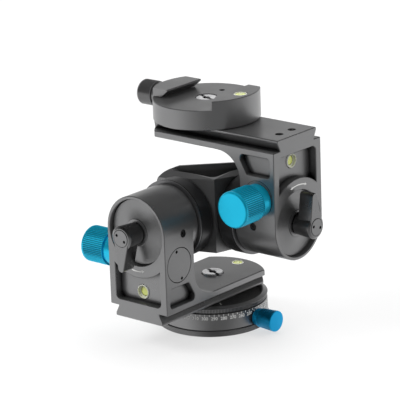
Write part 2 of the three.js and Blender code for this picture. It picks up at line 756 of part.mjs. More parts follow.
// One whole tilt unit; place turns its own directions into the part's X, Y, Z
function tiltUnit(group, prefix, place, pinAngle, withScrewHead, withArmLevel) {
  const add = (name, shape, look) => part(group, `${prefix}_${name}`, shape, look, place);
  add('bracket', bracket(withScrewHead, withArmLevel), anodised);
  add('rear_cover', rearCover(), dark);
  add('bearing', ring('a', bearingStart, bearingEnd, holeRadius, boreRadius - clear, segsMid),
    steel);
  add('front_dish', frontDish(), anodised);
  add('worm', worm(), steel);
  add('worm_bush', ring('s', bushEnd - bushLength, bushEnd, journalRadius + clear,
    bushRadius, segsMid, wormPlace, wormRise), brass);
  add('worm_cap', wormCap(), anodised);
  add('worm_knob', wormKnob(), blue);
  add('lever', lever(), black);
  add('lever_cap', leverCap(pinAngle), anodised);
  const floor = faceOffset - windowDepth;
  add('window_level', rod('a', floor - windowLevelSink, floor + windowLevelProud,
    windowLevelRadius, segsMid, 0, windowLevelRise), vial);
  if (withArmLevel) {
    add('arm_level', rod('h', slabInner - armLevelProud, slabInner + armLevelSink,
      armLevelRadius, segsSmall, -armLevelPlace, 0), vial);
  }
  add('flange', flange(), black);
  add('spindle', spindle(), steel);
  add('spindle_nut', nut(), steel);
  add('worm_wheel', wheel(), brass);
}

// Panning base, in the part's own X, Y, Z
function panningBase(group) {
  const add = (name, shape, look) => part(group, name, shape, look);
  const ringInner = ringRadius - ringWall;
  add('base_ring', ring('h', 0, ringHeight, ringInner, ringRadius, segsBig), dark);
  const bushHole = bushOuterRadius + clear;
  let body = turned([[0, bushHole], [0, ringInner - clear], [ringHeight + clear, ringInner - clear],
    [ringHeight + clear, baseLowRadius], [baseHeight, baseTopRadius], [baseHeight, baseBoreRadius],
    [baseFloor, baseBoreRadius], [baseFloor, baseBossRadius], [baseBossHeight, baseBossRadius],
    [baseBossHeight, bushHole]], 'h', segsBig);
  body = body.subtract(rod('a', baseBossRadius + overrun, ringRadius, lockScrewRadius + clear,
    segsSmall, 0, lockHeight));
  body = body.subtract(rod('a', lockPadStart - clear, lockPadStart + lockPadLength + clear,
    lockPadRadius + clear, segsSmall, 0, lockHeight));
  add('base_body', body, anodised);
  add('tripod_bush', rod('h', 0, baseBossHeight, bushOuterRadius, segsMid)
    .subtract(rod('h', -overrun, bushThreadDepth, bushThreadRadius, segsSmall)), steel);
  add('pan_bearing', ring('h', baseFloor + clear, baseFloor + bearingRise,
    baseBossRadius + clear, baseBossRadius + clear + bearingWall, segsMid), steel);

  const knurlEnd = discStart + discKnurlHeight;
  const bevelStart = knurlEnd + discRimHeight;
  const lipInner = discRimRadius - discBevel - discLip;
  const dishFloor = discSeat - dishFloorDrop;
  add('pan_disc', turned([[discStart, 0], [discStart, discKnurlRadius],
    [knurlEnd, discKnurlRadius], [knurlEnd, discRimRadius], [bevelStart, discRimRadius],
    [discSeat, discRimRadius - discBevel], [discSeat, lipInner],
    [dishFloor, lipInner - discLip], [dishFloor, discBossRadius], [discSeat, discBossRadius],
    [discSeat, 0]], 'h', segsBig)
    .subtract(rod('h', discStart - overrun, discSeat + overrun, screwShankRadius + clear,
      segsSmall)), anodised);
  add('pan_brake_ring', ring('h', discStart - clear - brakeHeight, discStart - clear, brakeInner,
    brakeOuter, segsBig), steel);
  add('pan_lock_pad', rod('a', lockPadStart, lockPadStart + lockPadLength, lockPadRadius,
    segsSmall, 0, lockHeight), brass);
  const screwStart = lockPadStart + lockPadLength + clear;
  const knobInner = lockKnobStart;
  add('pan_lock_screw', rod('a', screwStart, knobInner + lockScrewInKnob, lockScrewRadius,
    segsSmall, 0, lockHeight), steel);
  add('pan_lock_knob', turned([[knobInner, 0], [knobInner, lockKnobInner],
    [lockKnobEnd - lockKnobEdge, lockKnobOuter], [lockKnobEnd, lockKnobOuter - lockKnobEdge],
    [lockKnobEnd, 0]], 'a', segsMid, 0, lockHeight)
    .subtract(rod('a', knobInner - overrun, knobInner + lockScrewInKnob + overrun,
      lockScrewRadius + clear, segsSmall, 0, lockHeight)), blue);
  const headTop = axisHeight - slabInner + screwHeadProud;
  const headSeat = axisHeight - slabInner - screwHeadSink;
  add('arm_screw', slottedScrew('h', discStart + armScrewTipGap, headSeat, headTop), steel);
}

// Dovetail clamp on the upper arm, in the part's own X, Y, Z
function dovetailClamp(group) {
  const add = (name, shape, look) => part(group, name, shape, look);
  const undercut = (side) => [[side * (jawRoot - overrun * 2), clampFlat],
    [side * jawRoot, clampFlat], [side * jawRoot, clampFlat + jawFoot],
    [side * jawMouth, jawTop - jawLand], [side * (jawMouth - overrun * 3), jawTop - jawLand]];
  const slotDepthInner = jawLegInner - clear;
  const legFloor = clampFlat - jawLegDepth;
  let body = rod('h', clampBase, clampFlat, clampRadius, segsBig);
  const jawBlock = block('h', clampFlat - overrun, jawTop, jawMouth, clampRadius + overrun,
    -fixedJawHalf, fixedJawHalf).intersect(rod('h', clampBase, jawTop, clampRadius, segsBig))
    .subtract(prism(undercut(1), 's', -clampRadius, clampRadius));
  body = body.add(jawBlock)
    .subtract(block('h', legFloor - slotFloorGap, clampFlat + overrun,
      -clampRadius - overrun, -slotDepthInner, -jawLegHalf - clear, jawLegHalf + clear))
    .subtract(rod('a', -clampRadius, -rodInner + clear, rodRadius + clear, segsSmall,
      0, rodHeight))
    .subtract(rod('h', clampBase - overrun, clampFlat + overrun, screwShankRadius + clear,
      segsSmall))
    .subtract(rod('h', clampFlat - screwHeadSink - screwHeadProud, clampFlat + overrun,
      screwHeadRadius + clear, segsMid))
    .subtract(rod('h', clampFlat - stopHoleDepth, clampFlat + overrun, stopHoleRadius,
      segsSmall, -stopHoleSide, stopHolePlace))
    .subtract(rod('h', jawTop - clampLevelSink - clear, jawTop + overrun,
      clampLevelRadius + clear, segsMid, clampLevelPlace, clampLevelSide));
  for (const side of [-1, 1]) {
    body = body.subtract(rod('a', -clampRadius, -guideInner + clear, guideRadius + clear,
      segsSmall, side * guideSpacing / 2, rodHeight));
  }
  add('clamp_body', body, anodised);

  // Moving jaw: a bar over the flat, a leg down into the slot, and a round boss
  const jawFootHeight = clampFlat + clear;
  const section = [[-clampRadius, jawFootHeight], [-jawRoot, jawFootHeight],
    [-jawRoot, clampFlat + jawFoot], [-jawMouth, jawTop - jawLand], [-jawMouth, jawTop],
    [-clampRadius, jawTop]];
  let jaw = prism(section, 's', -movingJawFront, movingJawRear)
    .add(block('h', legFloor, jawFootHeight + overrun, -clampRadius, -jawLegInner,
      -jawLegHalf, jawLegHalf))
    .intersect(rod('h', clampBase, jawTop + overrun, clampRadius, segsBig))
    .add(rod('a', -collarOuter, overrun * 2 - clampRadius, jawCollarRadius, segsMid,
      0, rodHeight))
    .subtract(rod('a', -collarOuter - overrun, -jawLegInner + overrun, rodRadius + clear,
      segsSmall, 0, rodHeight));
  for (const side of [-1, 1]) {
    jaw = jaw.subtract(rod('a', -jawLegInner - guideInJaw, -jawLegInner + overrun,
      guideRadius + clear, segsSmall, side * guideSpacing / 2, rodHeight));
  }
  add('clamp_jaw', jaw, anodised);
  for (const [name, side] of [['front', -1], ['rear', 1]]) {
    add(`clamp_guide_${name}`, rod('a', -jawLegInner - guideInJaw + clear, -guideInner,
      guideRadius, segsSmall, side * guideSpacing / 2, rodHeight), steel);
  }
  const knobStart = -collarOuter - clear;
  add('clamp_rod', rod('a', knobStart - rodInKnob, -rodInner, rodRadius, segsSmall, 0,
    rodHeight), steel);
  const roundEnd = arc(-clampKnobEnd + clampKnobRound, clampKnobRadius - clampKnobRound,
    clampKnobRound, Math.PI, Math.PI / 2, cornerSteps);
  add('clamp_knob', turned([[-clampKnobEnd, 0], ...roundEnd, [knobStart, clampKnobRadius],
    [knobStart, 0]], 'a', segsMid, 0, rodHeight)
    .subtract(rod('a', knobStart - rodInKnob - clear, knobStart + overrun, rodRadius + clear,
      segsSmall, 0, rodHeight)), dark);
  const headSeat = clampFlat - screwHeadSink - screwHeadProud + clear;
  add('clamp_screw', slottedScrew('h', axisHeight + slabInner + armScrewTipGap, headSeat,
    clampFlat - clear), steel);
  add('clamp_level', rod('h', jawTop - clampLevelSink, jawTop, clampLevelRadius, segsMid,
    clampLevelPlace, clampLevelSide), vial);
}

// Assembly: everything about the pan axis, then moved so that the origin is the
// middle of the underside of the whole box
const about = new THREE.Group();
const panGroup = new THREE.Group();
const drums = new THREE.Group();
drums.position.set(0, 0, axisHeight);
about.add(panGroup, drums);
panningBase(panGroup);
dovetailClamp(panGroup);
tiltUnit(drums, 'lower', basis([0, -1, 0], [-1, 0, 0], [0, 0, -1]), lowerPinAngle, true, true);
tiltUnit(drums, 'upper', basis([1, 0, 0], [0, -1, 0], [0, 0, 1]), upperPinAngle, false, false);
part(drums, 'elbow', elbow(), anodised);

const head = new THREE.Group();
head.add(about);
head.updateMatrixWorld(true);
const box = new THREE.Box3().setFromObject(about, true);
const middle = box.getCenter(new THREE.Vector3());
about.position.set(-middle.x, -middle.y, -box.min.z);

export default head;
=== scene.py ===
# Looks of a geared tripod head: fine versions of its machined pieces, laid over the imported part.
# Every size below is in millimetres unless its name says otherwise.
import math
from types import SimpleNamespace
import bpy
import bmesh
from mathutils import Matrix, Vector


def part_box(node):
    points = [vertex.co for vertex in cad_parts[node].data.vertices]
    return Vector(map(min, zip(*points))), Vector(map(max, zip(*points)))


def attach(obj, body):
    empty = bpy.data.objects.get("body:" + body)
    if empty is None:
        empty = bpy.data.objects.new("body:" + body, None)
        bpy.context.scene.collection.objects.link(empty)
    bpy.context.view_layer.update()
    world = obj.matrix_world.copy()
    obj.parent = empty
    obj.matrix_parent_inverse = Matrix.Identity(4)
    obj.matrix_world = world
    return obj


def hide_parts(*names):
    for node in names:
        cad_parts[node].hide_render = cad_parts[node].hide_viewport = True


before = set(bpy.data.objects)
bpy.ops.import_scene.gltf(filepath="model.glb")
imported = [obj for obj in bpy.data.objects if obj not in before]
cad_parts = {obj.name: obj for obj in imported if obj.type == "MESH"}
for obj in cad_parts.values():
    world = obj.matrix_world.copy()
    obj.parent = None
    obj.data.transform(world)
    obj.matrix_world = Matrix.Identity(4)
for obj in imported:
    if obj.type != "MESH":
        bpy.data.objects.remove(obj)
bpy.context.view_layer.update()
scene = bpy.context.scene
print("frame: loaded", len(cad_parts), "nodes")

mm = 0.001
gap = 0.3  # between neighbouring pieces
past = 1.0  # how far a cut runs past the face it opens
tiny = 1e-6
weld, weldInMetres = 1e-4, 2e-6  # points closer than this become one
roundSteps, cornerSteps = 96, 8


def named(values):
    # a dictionary of sizes, read as z.name
    return SimpleNamespace(**values)


# Where things are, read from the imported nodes
def middleOf(node):
    low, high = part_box(node)
    return (low + high) / 2


panSpot, drumSpot = middleOf("base_ring"), middleOf("lower_flange")


def placing(aWay, sWay, hWay, height):
    turn = Matrix((aWay, sWay, hWay)).transposed().to_4x4()
    return Matrix.Translation((panSpot.x, panSpot.y, height)) @ turn @ Matrix.Scale(mm, 4)


# a = along a drum axis, s = sideways, h = toward the plate; upright: a = X, s = Y, h = Z
upright = placing((1, 0, 0), (0, 1, 0), (0, 0, 1), 0)
atElbow = placing((1, 0, 0), (0, 1, 0), (0, 0, 1), drumSpot.z)
lowerUnit = placing((0, -1, 0), (-1, 0, 0), (0, 0, -1), drumSpot.z)
upperUnit = placing((1, 0, 0), (0, -1, 0), (0, 0, 1), drumSpot.z)
spots = {"a": lambda t, u, v: (t, u, v), "s": lambda t, u, v: (u, t, v),
         "h": lambda t, u, v: (u, v, t)}


# Mesh helpers, all in a unit's own a, s, h
def bake(obj):
    bpy.context.view_layer.update()
    graph = bpy.context.evaluated_depsgraph_get()
    mesh = bpy.data.meshes.new_from_object(obj.evaluated_get(graph))
    obj.modifiers.clear()
    obj.data = mesh
    return obj


def newObject(name, data):
    obj = bpy.data.objects.new(name, data)
    scene.collection.objects.link(obj)
    return obj


def solid(points, faces):
    mesh = bpy.data.meshes.new("shape")
    mesh.from_pydata(points, [], faces)
    work = bmesh.new()
    work.from_mesh(mesh)
    bmesh.ops.remove_doubles(work, verts=work.verts, dist=weld)
    bmesh.ops.recalc_face_normals(work, faces=work.faces)
    work.to_mesh(mesh)
    work.free()
    return newObject("shape", mesh)


def inset(outline, depth):
    count = len(outline)
    area = sum(outline[i - 1][0] * outline[i][1] - outline[i][0] * outline[i - 1][1]
               for i in range(count))
    result = []
    for i, here in enumerate(outline):
        here, last = Vector(here), Vector(outline[i - 1])
        after = Vector(outline[(i + 1) % count])
        into, out = (here - last).normalized(), (after - here).normalized()
        sides = Vector((-into.y - out.y, into.x + out.x))
        share = math.copysign(depth, area * depth) / (1 + into.dot(out)) if depth else 0
        result.append(tuple(here + sides * share))
    return result


def stack(outline, way, sections):
    # sections: (place along the way, inset of the outline there), in rising order
    put, count = spots[way], len(outline)
    points = [put(place, u, v) for place, depth in sections for u, v in inset(outline, depth)]
    faces = [[k * count + i, k * count + (i + 1) % count, (k + 1) * count + (i + 1) % count,
              (k + 1) * count + i] for k in range(len(sections) - 1) for i in range(count)]
    faces += [list(range(count)), list(range(len(points) - count, len(points)))]
    return solid(points, faces)


def prism(outline, way, start, end, edge=0.0):
    if not edge:
        return stack(outline, way, [(start, 0), (end, 0)])
    return stack(outline, way, [(start, edge), (start + edge, 0), (end - edge, 0), (end, edge)])


def pit(outline, way, floor, face, edge):
    # a cut from its floor out through a face, with a bevelled mouth
    side = 1 if face > floor else -1
    sections = [(floor, 0), (face - side * edge, 0), (face + side * past, -edge - past)]
    return stack(outline, way, sections[::side])


def lathe(profile, way, u=0.0, v=0.0, steps=roundSteps):
    put = spots[way]
    points, rows = [], []
    for t, r in profile:
        if r < tiny:
            rows.append([len(points)] * steps)
            points.append(put(t, u, v))
        else:
            rows.append([len(points) + k for k in range(steps)])
            points += [put(t, u + r * math.cos(2 * math.pi * k / steps),
                           v + r * math.sin(2 * math.pi * k / steps)) for k in range(steps)]
    if profile[0][1] > tiny:
        rows.append(rows[0])
    faces = []
    for low, high in zip(rows, rows[1:]):
        for k in range(steps):
            j = (k + 1) % steps
            corners = [low[k], low[j], high[j], high[k]]
            faces.append([c for n, c in enumerate(corners) if c not in corners[:n]])
    return solid(points, faces)


def rod(way, start, end, radius, u=0.0, v=0.0, edge=0.0, steps=64):
    bevels = [(start, radius - edge), (start + edge, radius), (end - edge, radius), (end, radius - edge)]
    sides = bevels if edge else [(start, radius), (end, radius)]
    return lathe([(start, 0), *sides, (end, 0)], way, u, v, steps)


def socket(way, floor, face, radius, u=0.0, v=0.0, edge=0.3, steps=48):
    # a round hole with a bevelled mouth
    side = 1 if face > floor else -1
    return lathe([(floor, 0), (floor, radius), (face - side * edge, radius),
                  (face + side * past, radius + edge + past), (face + side * past, 0)], way, u, v, steps)


def box(way, start, end, u0, u1, v0, v1):
    return prism([(u0, v0), (u1, v0), (u1, v1), (u0, v1)], way, start, end)


def arc(u, v, radius, start, end, steps):
    return [(u + radius * math.cos(start + (end - start) * k / steps),
             v + radius * math.sin(start + (end - start) * k / steps)) for k in range(steps + 1)]


def rounded(outline, radius):
    result = []
    for i, here in enumerate(outline):
        here, last = Vector(here), Vector(outline[i - 1])
        after = Vector(outline[(i + 1) % len(outline)])
        back, on = (last - here).normalized(), (after - here).normalized()
        half = math.acos(max(-1, min(1, back.dot(on)))) / 2
        centre = here + (back + on).normalized() * (radius / math.sin(half))
        first = here + back * (radius / math.tan(half)) - centre
        last = here + on * (radius / math.tan(half)) - centre
        turn = math.atan2(first.x * last.y - first.y * last.x, first.dot(last))
        for k in range(cornerSteps + 1):
            result.append(tuple(centre + Matrix.Rotation(turn * k / cornerSteps, 2) @ first))
    return result


softSizes = {"leastTurn": 0.3, "mostShare": 0.45}  # radians; share of the shorter side


def softened(profile, size):
    # a turned profile with its corners eased
    z = named(softSizes)
    result, count = [], len(profile)
    closed = profile[0][1] > tiny
    for i, here in enumerate(profile):
        if not closed and i in (0, count - 1):
            result.append(here)
            continue
        here, last, after = Vector(here), Vector(profile[i - 1]), Vector(profile[(i + 1) % count])
        into, out = here - last, after - here
        if into.length < tiny or out.length < tiny or into.angle(out) < z.leastTurn:
            result.append(tuple(here))
            continue
        reach = min(size, into.length * z.mostShare, out.length * z.mostShare)
        first, final = here - into.normalized() * reach, here + out.normalized() * reach
        result += [tuple(first), tuple((first + here * 2 + final) / 4), tuple(final)]
    return result


def combine(kind, base, *tools):
    for tool in tools:
        step = base.modifiers.new("join", "BOOLEAN")
        step.operation, step.object, step.solver = kind, tool, "MANIFOLD"
        bake(base)
        bpy.data.objects.remove(tool)
    return base


def cut(base, *tools):
    return combine("DIFFERENCE", base, *tools)


def join(base, *tools):
    return combine("UNION", base, *tools)


def common(base, *tools):
    return combine("INTERSECT", base, *tools)


def eased(obj, width, angleDegrees=40, segments=2):
    work = bmesh.new()
    work.from_mesh(obj.data)
    bmesh.ops.dissolve_limit(work, angle_limit=math.radians(1), verts=work.verts, edges=work.edges)
    work.to_mesh(obj.data)
    work.free()
    step = obj.modifiers.new("ease", "BEVEL")
    step.width, step.segments, step.limit_method = width, segments, "ANGLE"
    step.angle_limit = math.radians(angleDegrees)
    return bake(obj)


def finish(obj, name, place, body, look, stands=(), creaseDegrees=28):
    obj.name = obj.data.name = name
    work = bmesh.new()
    work.from_mesh(obj.data)
    bmesh.ops.transform(work, matrix=place, verts=work.verts)
    bmesh.ops.remove_doubles(work, verts=work.verts, dist=weldInMetres)
    bmesh.ops.recalc_face_normals(work, faces=work.faces)
    for face in work.faces:
        face.smooth = True
    for line in work.edges:
        bend = line.calc_face_angle(math.pi)
        line.smooth = len(line.link_faces) == 2 and bend < math.radians(creaseDegrees)
    work.to_mesh(obj.data)
    work.free()
    step = obj.modifiers.new("normals", "WEIGHTED_NORMAL")
    step.keep_sharp = True
    bake(obj)
    obj.data.name = name
    obj.data.materials.clear()
    obj.data.materials.append(look)
    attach(obj, body)
    if stands:
        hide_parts(*stands)
    return obj


# Node helpers
def feed(tree, node, inputs):
    # inputs: by name or number, each a plain value or another node's output
    for key, value in inputs.items():
        if isinstance(value, bpy.types.NodeSocket):
            tree.links.new(value, node.inputs[key])
        else:
            node.inputs[key].default_value = value
    return node


def addNode(tree, kind, inputs=None, **settings):
    node = tree.nodes.new(kind)
    for name, value in settings.items():
        setattr(node, name, value)
    return feed(tree, node, inputs or {})


def mathNode(tree, operation, *values):
    return addNode(tree, "ShaderNodeMath", dict(enumerate(values)), operation=operation).outputs[0]


def vectorNode(tree, operation, inputs, output="Vector"):
    return addNode(tree, "ShaderNodeVectorMath", inputs, operation=operation).outputs[output]


def ranged(tree, value, low, high, start, end):
    # runs from start at low to end at high
    return addNode(tree, "ShaderNodeMapRange", {"Value": value, "From Min": low, "From Max": high,
                                                "To Min": start, "To Max": end}).outputs["Result"]


def newMaterial(name):
    look = bpy.data.materials.new(name)
    look.use_nodes = True
    tree = look.node_tree
    spot = addNode(tree, "ShaderNodeTexCoord").outputs["Object"]
    return look, tree, tree.nodes["Principled BSDF"], spot


# Finishes; the colour's patches, the bumps and the painted shade in hollows and knurl valleys are shared
# by all
lookSizes = {"patchScale": 55.0, "patchDetail": 3.0, "grainScale": 2600.0, "grainDetail": 2.0,
             "grainShare": 0.35, "grainHeight": 0.0002, "roughPatch": 0.04, "patchLow": 0.3,
             "patchHigh": 0.7, "hollowSamples": 8, "hollowLow": 0.35, "hollowHigh": 0.8,
             "valleyLow": 0.15, "valleyHigh": 0.75, "lineStrength": 0.12, "lineHeight": 0.00006}


def newLook(name, colour, rough, metal, grain=0.05, patch=0.05, turned=None, pitch=0.0, valleyShade=1.0,
            hollowShade=1.0, reach=4.5):
    # grain: fine blasted bump; patch: slow change of colour; turned: centre and axis of lathe lines;
    # the knurl and hollow shade shares: how much of the colour the painted shade leaves at the bottom of
    # a knurl and deep in a hollow;
    # reach: how far off (mm) a wall still casts painted shade
    z = named(lookSizes)
    look, tree, shader, spot = newMaterial(name)

    def noise(scale, detail):
        return addNode(tree, "ShaderNodeTexNoise",
                       {"Vector": spot, "Scale": scale, "Detail": detail}).outputs["Fac"]

    slow, fine = noise(z.patchScale, z.patchDetail), noise(z.grainScale, z.grainDetail)
    paint = addNode(tree, "ShaderNodeMix", {
        "Factor": mathNode(tree, "MULTIPLY_ADD", fine, z.grainShare, slow),
        "A": (*[c * (1 - patch) for c in colour], 1),
        "B": (*[min(1, c * (1 + patch)) for c in colour], 1)}, data_type="RGBA").outputs["Result"]
    # painted shade: the colour darkens where walls stand near, as if shadow fell into the hollow
    if hollowShade < 1:
        occlusion = addNode(tree, "ShaderNodeAmbientOcclusion", {"Distance": reach * mm},
                        only_local=True, samples=z.hollowSamples).outputs["AO"]
        share = ranged(tree, occlusion, z.hollowLow, z.hollowHigh, hollowShade, 1.0)
        paint = vectorNode(tree, "SCALE", {0: paint, "Scale": share})
    # painted shade: the colour darkens toward the bottom of each knurl valley
    if valleyShade < 1:
        deep = addNode(tree, "ShaderNodeAttribute", attribute_name="valleyShade").outputs["Fac"]
        share = ranged(tree, deep, z.valleyLow, z.valleyHigh, 1.0, valleyShade)
        paint = vectorNode(tree, "SCALE", {0: paint, "Scale": share})
    normal = addNode(tree, "ShaderNodeBump", {"Height": fine, "Strength": grain,
                                              "Distance": z.grainHeight}).outputs["Normal"]
    if turned:
        centre, axis = turned
        shift = addNode(tree, "ShaderNodeMapping", {"Vector": spot, "Location": [-c for c in centre]})
        flat = vectorNode(tree, "MULTIPLY", {0: shift.outputs["Vector"],
                                             1: [0.0 if k == axis else 1.0 for k in range(3)]})
        away = vectorNode(tree, "LENGTH", {0: flat}, "Value")
        wave = mathNode(tree, "SINE", mathNode(tree, "MULTIPLY", away, 2 * math.pi / pitch))
        normal = addNode(tree, "ShaderNodeBump", {
            "Height": wave, "Normal": normal, "Strength": z.lineStrength,
            "Distance": z.lineHeight}).outputs["Normal"]
    dull = ranged(tree, slow, z.patchLow, z.patchHigh, rough - z.roughPatch, rough + z.roughPatch)
    feed(tree, shader, {"Base Color": paint, "Metallic": metal, "Roughness": dull, "Normal": normal})
    return look


# a hollow or valley share below 1 paints shade into the colour there
finishes = {
    "grey": dict(colour=(0.265, 0.265, 0.268), rough=0.31, metal=0.85, hollowShade=0.03),
    "elbow": dict(colour=(0.23, 0.23, 0.233), rough=0.36, metal=0.78, hollowShade=0.05, reach=18.0),
    "black": dict(colour=(0.075, 0.075, 0.077), rough=0.32, metal=0.8),
    "lever": dict(colour=(0.25, 0.25, 0.253), rough=0.28, metal=0.98, hollowShade=0.05, reach=2.0),
    "satin": dict(colour=(0.28, 0.28, 0.283), rough=0.34, metal=0.8, valleyShade=0.2),
    "rim": dict(colour=(0.20, 0.20, 0.205), rough=0.32, metal=0.9),
    "blue": dict(colour=(0.012, 0.60, 0.90), rough=0.32, metal=0.70, valleyShade=0.5),
    "deepBlue": dict(colour=(0.002, 0.40, 0.78), rough=0.30, metal=0.8, valleyShade=0.3),
    "steel": dict(colour=(0.76, 0.76, 0.77), rough=0.22, metal=1.0, grain=0.03),
    "silver": dict(colour=(0.90, 0.90, 0.91), rough=0.25, metal=0.75, grain=0.03, hollowShade=0.05),
    "brass": dict(colour=(0.60, 0.42, 0.15), rough=0.32, metal=1.0),
    "paint": dict(colour=(0.86, 0.86, 0.84), rough=0.5, metal=0.0, grain=0.03, patch=0.04),
    # near-black matt colour, painted as the shade inside the side holes
    "hole": dict(colour=(0.012, 0.012, 0.013), rough=0.6, metal=0.0),
}
looks = {name: newLook(name, **values) for name, values in finishes.items()}


def turnedLook(name, base, node, axis, pitch):
    return newLook(name, **finishes[base], turned=(middleOf(node), axis), pitch=pitch * mm)


# bands from the middle of a level outward: bubble, ring line, fluid, wall, rim
vialSizes = {"grainScale": 900.0, "grainShare": 0.12, "rough": 0.08, "coat": 0.6, "coatRough": 0.03,
             "glassShare": 0.8, "bands": [
                 (0.0, (0.72, 0.78, 0.40)), (0.24, (0.80, 0.84, 0.48)), (0.30, (0.22, 0.26, 0.06)),
                 (0.36, (0.70, 0.76, 0.18)), (0.62, (0.74, 0.80, 0.22)), (0.70, (0.40, 0.44, 0.12)),
                 (0.76, (0.10, 0.11, 0.06)), (0.80, (0.66, 0.68, 0.50)), (1.0, (0.60, 0.62, 0.46))]}


def vialLook(name, centre, glass):
    # clear yellow green fluid with a ring line and a pale bubble, centred on its level
    z = named(vialSizes)
    look, tree, shader, spot = newMaterial(name)
    shift = addNode(tree, "ShaderNodeMapping",
                    {"Vector": spot, "Location": [-c for c in centre]}).outputs["Vector"]
    grain = addNode(tree, "ShaderNodeTexNoise", {"Vector": shift, "Scale": z.grainScale})
    reach = vectorNode(tree, "LENGTH", {0: shift}, "Value")
    ramp = addNode(tree, "ShaderNodeValToRGB",
                   {"Fac": ranged(tree, reach, 0.0, glass / z.glassShare * mm, 0.0, 1.0)})
    for place, colour in z.bands:
        ramp.color_ramp.elements.new(place).color = (*colour, 1)
    ramp.color_ramp.elements.remove(ramp.color_ramp.elements[0])
    shade = addNode(tree, "ShaderNodeMix", {
        "Factor": z.grainShare, "A": ramp.outputs["Color"], "B": grain.outputs["Color"]},
        data_type="RGBA", blend_type="MULTIPLY")
    feed(tree, shader, {"Base Color": shade.outputs["Result"], "Roughness": z.rough,
                        "Coat Weight": z.coat, "Coat Roughness": z.coatRough})
    return look


print("finishes: made", len(looks))


# Node trees for what repeats
def newTree(name, inputs):
    tree = bpy.data.node_groups.new(name, "GeometryNodeTree")
    for label, kind in inputs.items():
        tree.interface.new_socket(name=label, in_out="INPUT", socket_type="NodeSocket" + kind)
    tree.interface.new_socket(name="Geometry", in_out="OUTPUT", socket_type="NodeSocketGeometry")

    def compute(operation, *values):
        return mathNode(tree, operation, *values)

    return tree, tree.nodes.new("NodeGroupInput").outputs, compute


def endTree(tree, shape, material):
    real = addNode(tree, "GeometryNodeRealizeInstances", {0: shape})
    paint = addNode(tree, "GeometryNodeSetMaterial", {"Geometry": real.outputs[0], "Material": material})
    addNode(tree, "NodeGroupOutput", {0: paint.outputs[0]})
    return tree


def grow(obj, tree, values):
    step = obj.modifiers.new(tree.name, "NODES")
    step.node_group = tree
    for item in tree.interface.items_tree:
        if item.in_out == "INPUT" and item.name in values:
            step[item.identifier] = values[item.name]
    return bake(obj)


def makeKnurlTree():
    # cuts ridges into a turned blank whose axis is its own Z; a slant crosses them into diamonds
    tree, given, compute = newTree("knurl", {
        "Geometry": "Geometry", "From": "Float", "To": "Float", "Ridges": "Float", "Depth": "Float",
        "Slant": "Float", "Material": "Material"})
    spot = addNode(tree, "GeometryNodeInputPosition").outputs[0]
    x, y, z = addNode(tree, "ShaderNodeSeparateXYZ", {0: spot}).outputs
    turns = compute("DIVIDE", compute("ARCTAN2", y, x), 2 * math.pi)
    around = compute("MULTIPLY", turns, given["Ridges"])
    along = compute("MULTIPLY", compute("SUBTRACT", z, given["From"]), given["Slant"])
    right = compute("PINGPONG", compute("ADD", around, along), 0.5)
    left = compute("PINGPONG", compute("SUBTRACT", around, along), 0.5)
    low = compute("SUBTRACT", compute("MULTIPLY", compute("MINIMUM", right, left), 2), 1)
    inside = compute("MULTIPLY", compute("GREATER_THAN", z, given["From"]),
                     compute("LESS_THAN", z, given["To"]))
    depth = compute("MULTIPLY", compute("MULTIPLY", low, given["Depth"]), inside)
    outward = vectorNode(tree, "NORMALIZE", {0: addNode(tree, "ShaderNodeCombineXYZ",
                                                        {0: x, 1: y}).outputs[0]})
    move = addNode(tree, "GeometryNodeSetPosition", {
        "Geometry": given["Geometry"],
        "Offset": vectorNode(tree, "SCALE", {0: outward, "Scale": depth})})
    # this depth mask, kept as a named attribute, tells the finish where to paint shade into the knurl
    # valleys
    valleyShade = compute("MULTIPLY", compute("MULTIPLY", low, -1), inside)  # 0 on a ridge, 1 in a valley
    store = addNode(tree, "GeometryNodeStoreNamedAttribute", {
        "Geometry": move.outputs[0], "Name": "valleyShade", "Value": valleyShade},
        data_type="FLOAT", domain="POINT")
    return endTree(tree, store.outputs[0], given["Material"])


def makeTickTree():
    # small bars standing round a drum; every second one can be shorter
    tree, given, compute = newTree("ticks", {
        "Count": "Int", "Radius": "Float", "Top": "Float", "Start": "Float", "Step": "Float",
        "Long": "Float", "Short": "Float", "Width": "Float", "Thick": "Float", "Material": "Material"})
    index = addNode(tree, "GeometryNodeInputIndex").outputs[0]
    angle = compute("MULTIPLY_ADD", index, given["Step"], given["Start"])
    drop = compute("SUBTRACT", given["Long"], given["Short"])
    length = compute("SUBTRACT", given["Long"], compute("MULTIPLY", compute("MODULO", index, 2), drop))

    def vector(x, y, z):
        return addNode(tree, "ShaderNodeCombineXYZ", {0: x, 1: y, 2: z}).outputs[0]

    line = addNode(tree, "GeometryNodeMeshLine", {"Count": given["Count"]})
    move = addNode(tree, "GeometryNodeSetPosition", {
        "Geometry": line.outputs[0],
        "Position": vector(compute("MULTIPLY", compute("COSINE", angle), given["Radius"]),
                           compute("MULTIPLY", compute("SINE", angle), given["Radius"]),
                           compute("SUBTRACT", given["Top"], compute("MULTIPLY", length, 0.5)))})
    bar = addNode(tree, "GeometryNodeMeshCube", {"Size": vector(given["Thick"], given["Width"], 1.0)})
    copies = addNode(tree, "GeometryNodeInstanceOnPoints", {
        "Points": move.outputs[0], "Instance": bar.outputs["Mesh"],
        "Rotation": vector(0.0, 0.0, angle), "Scale": vector(1.0, 1.0, length)})
    return endTree(tree, copies.outputs[0], given["Material"])


knurlTree, tickTree = makeKnurlTree(), makeTickTree()
knurlMargin = 0.01  # how far the cut zone runs past its rows of points


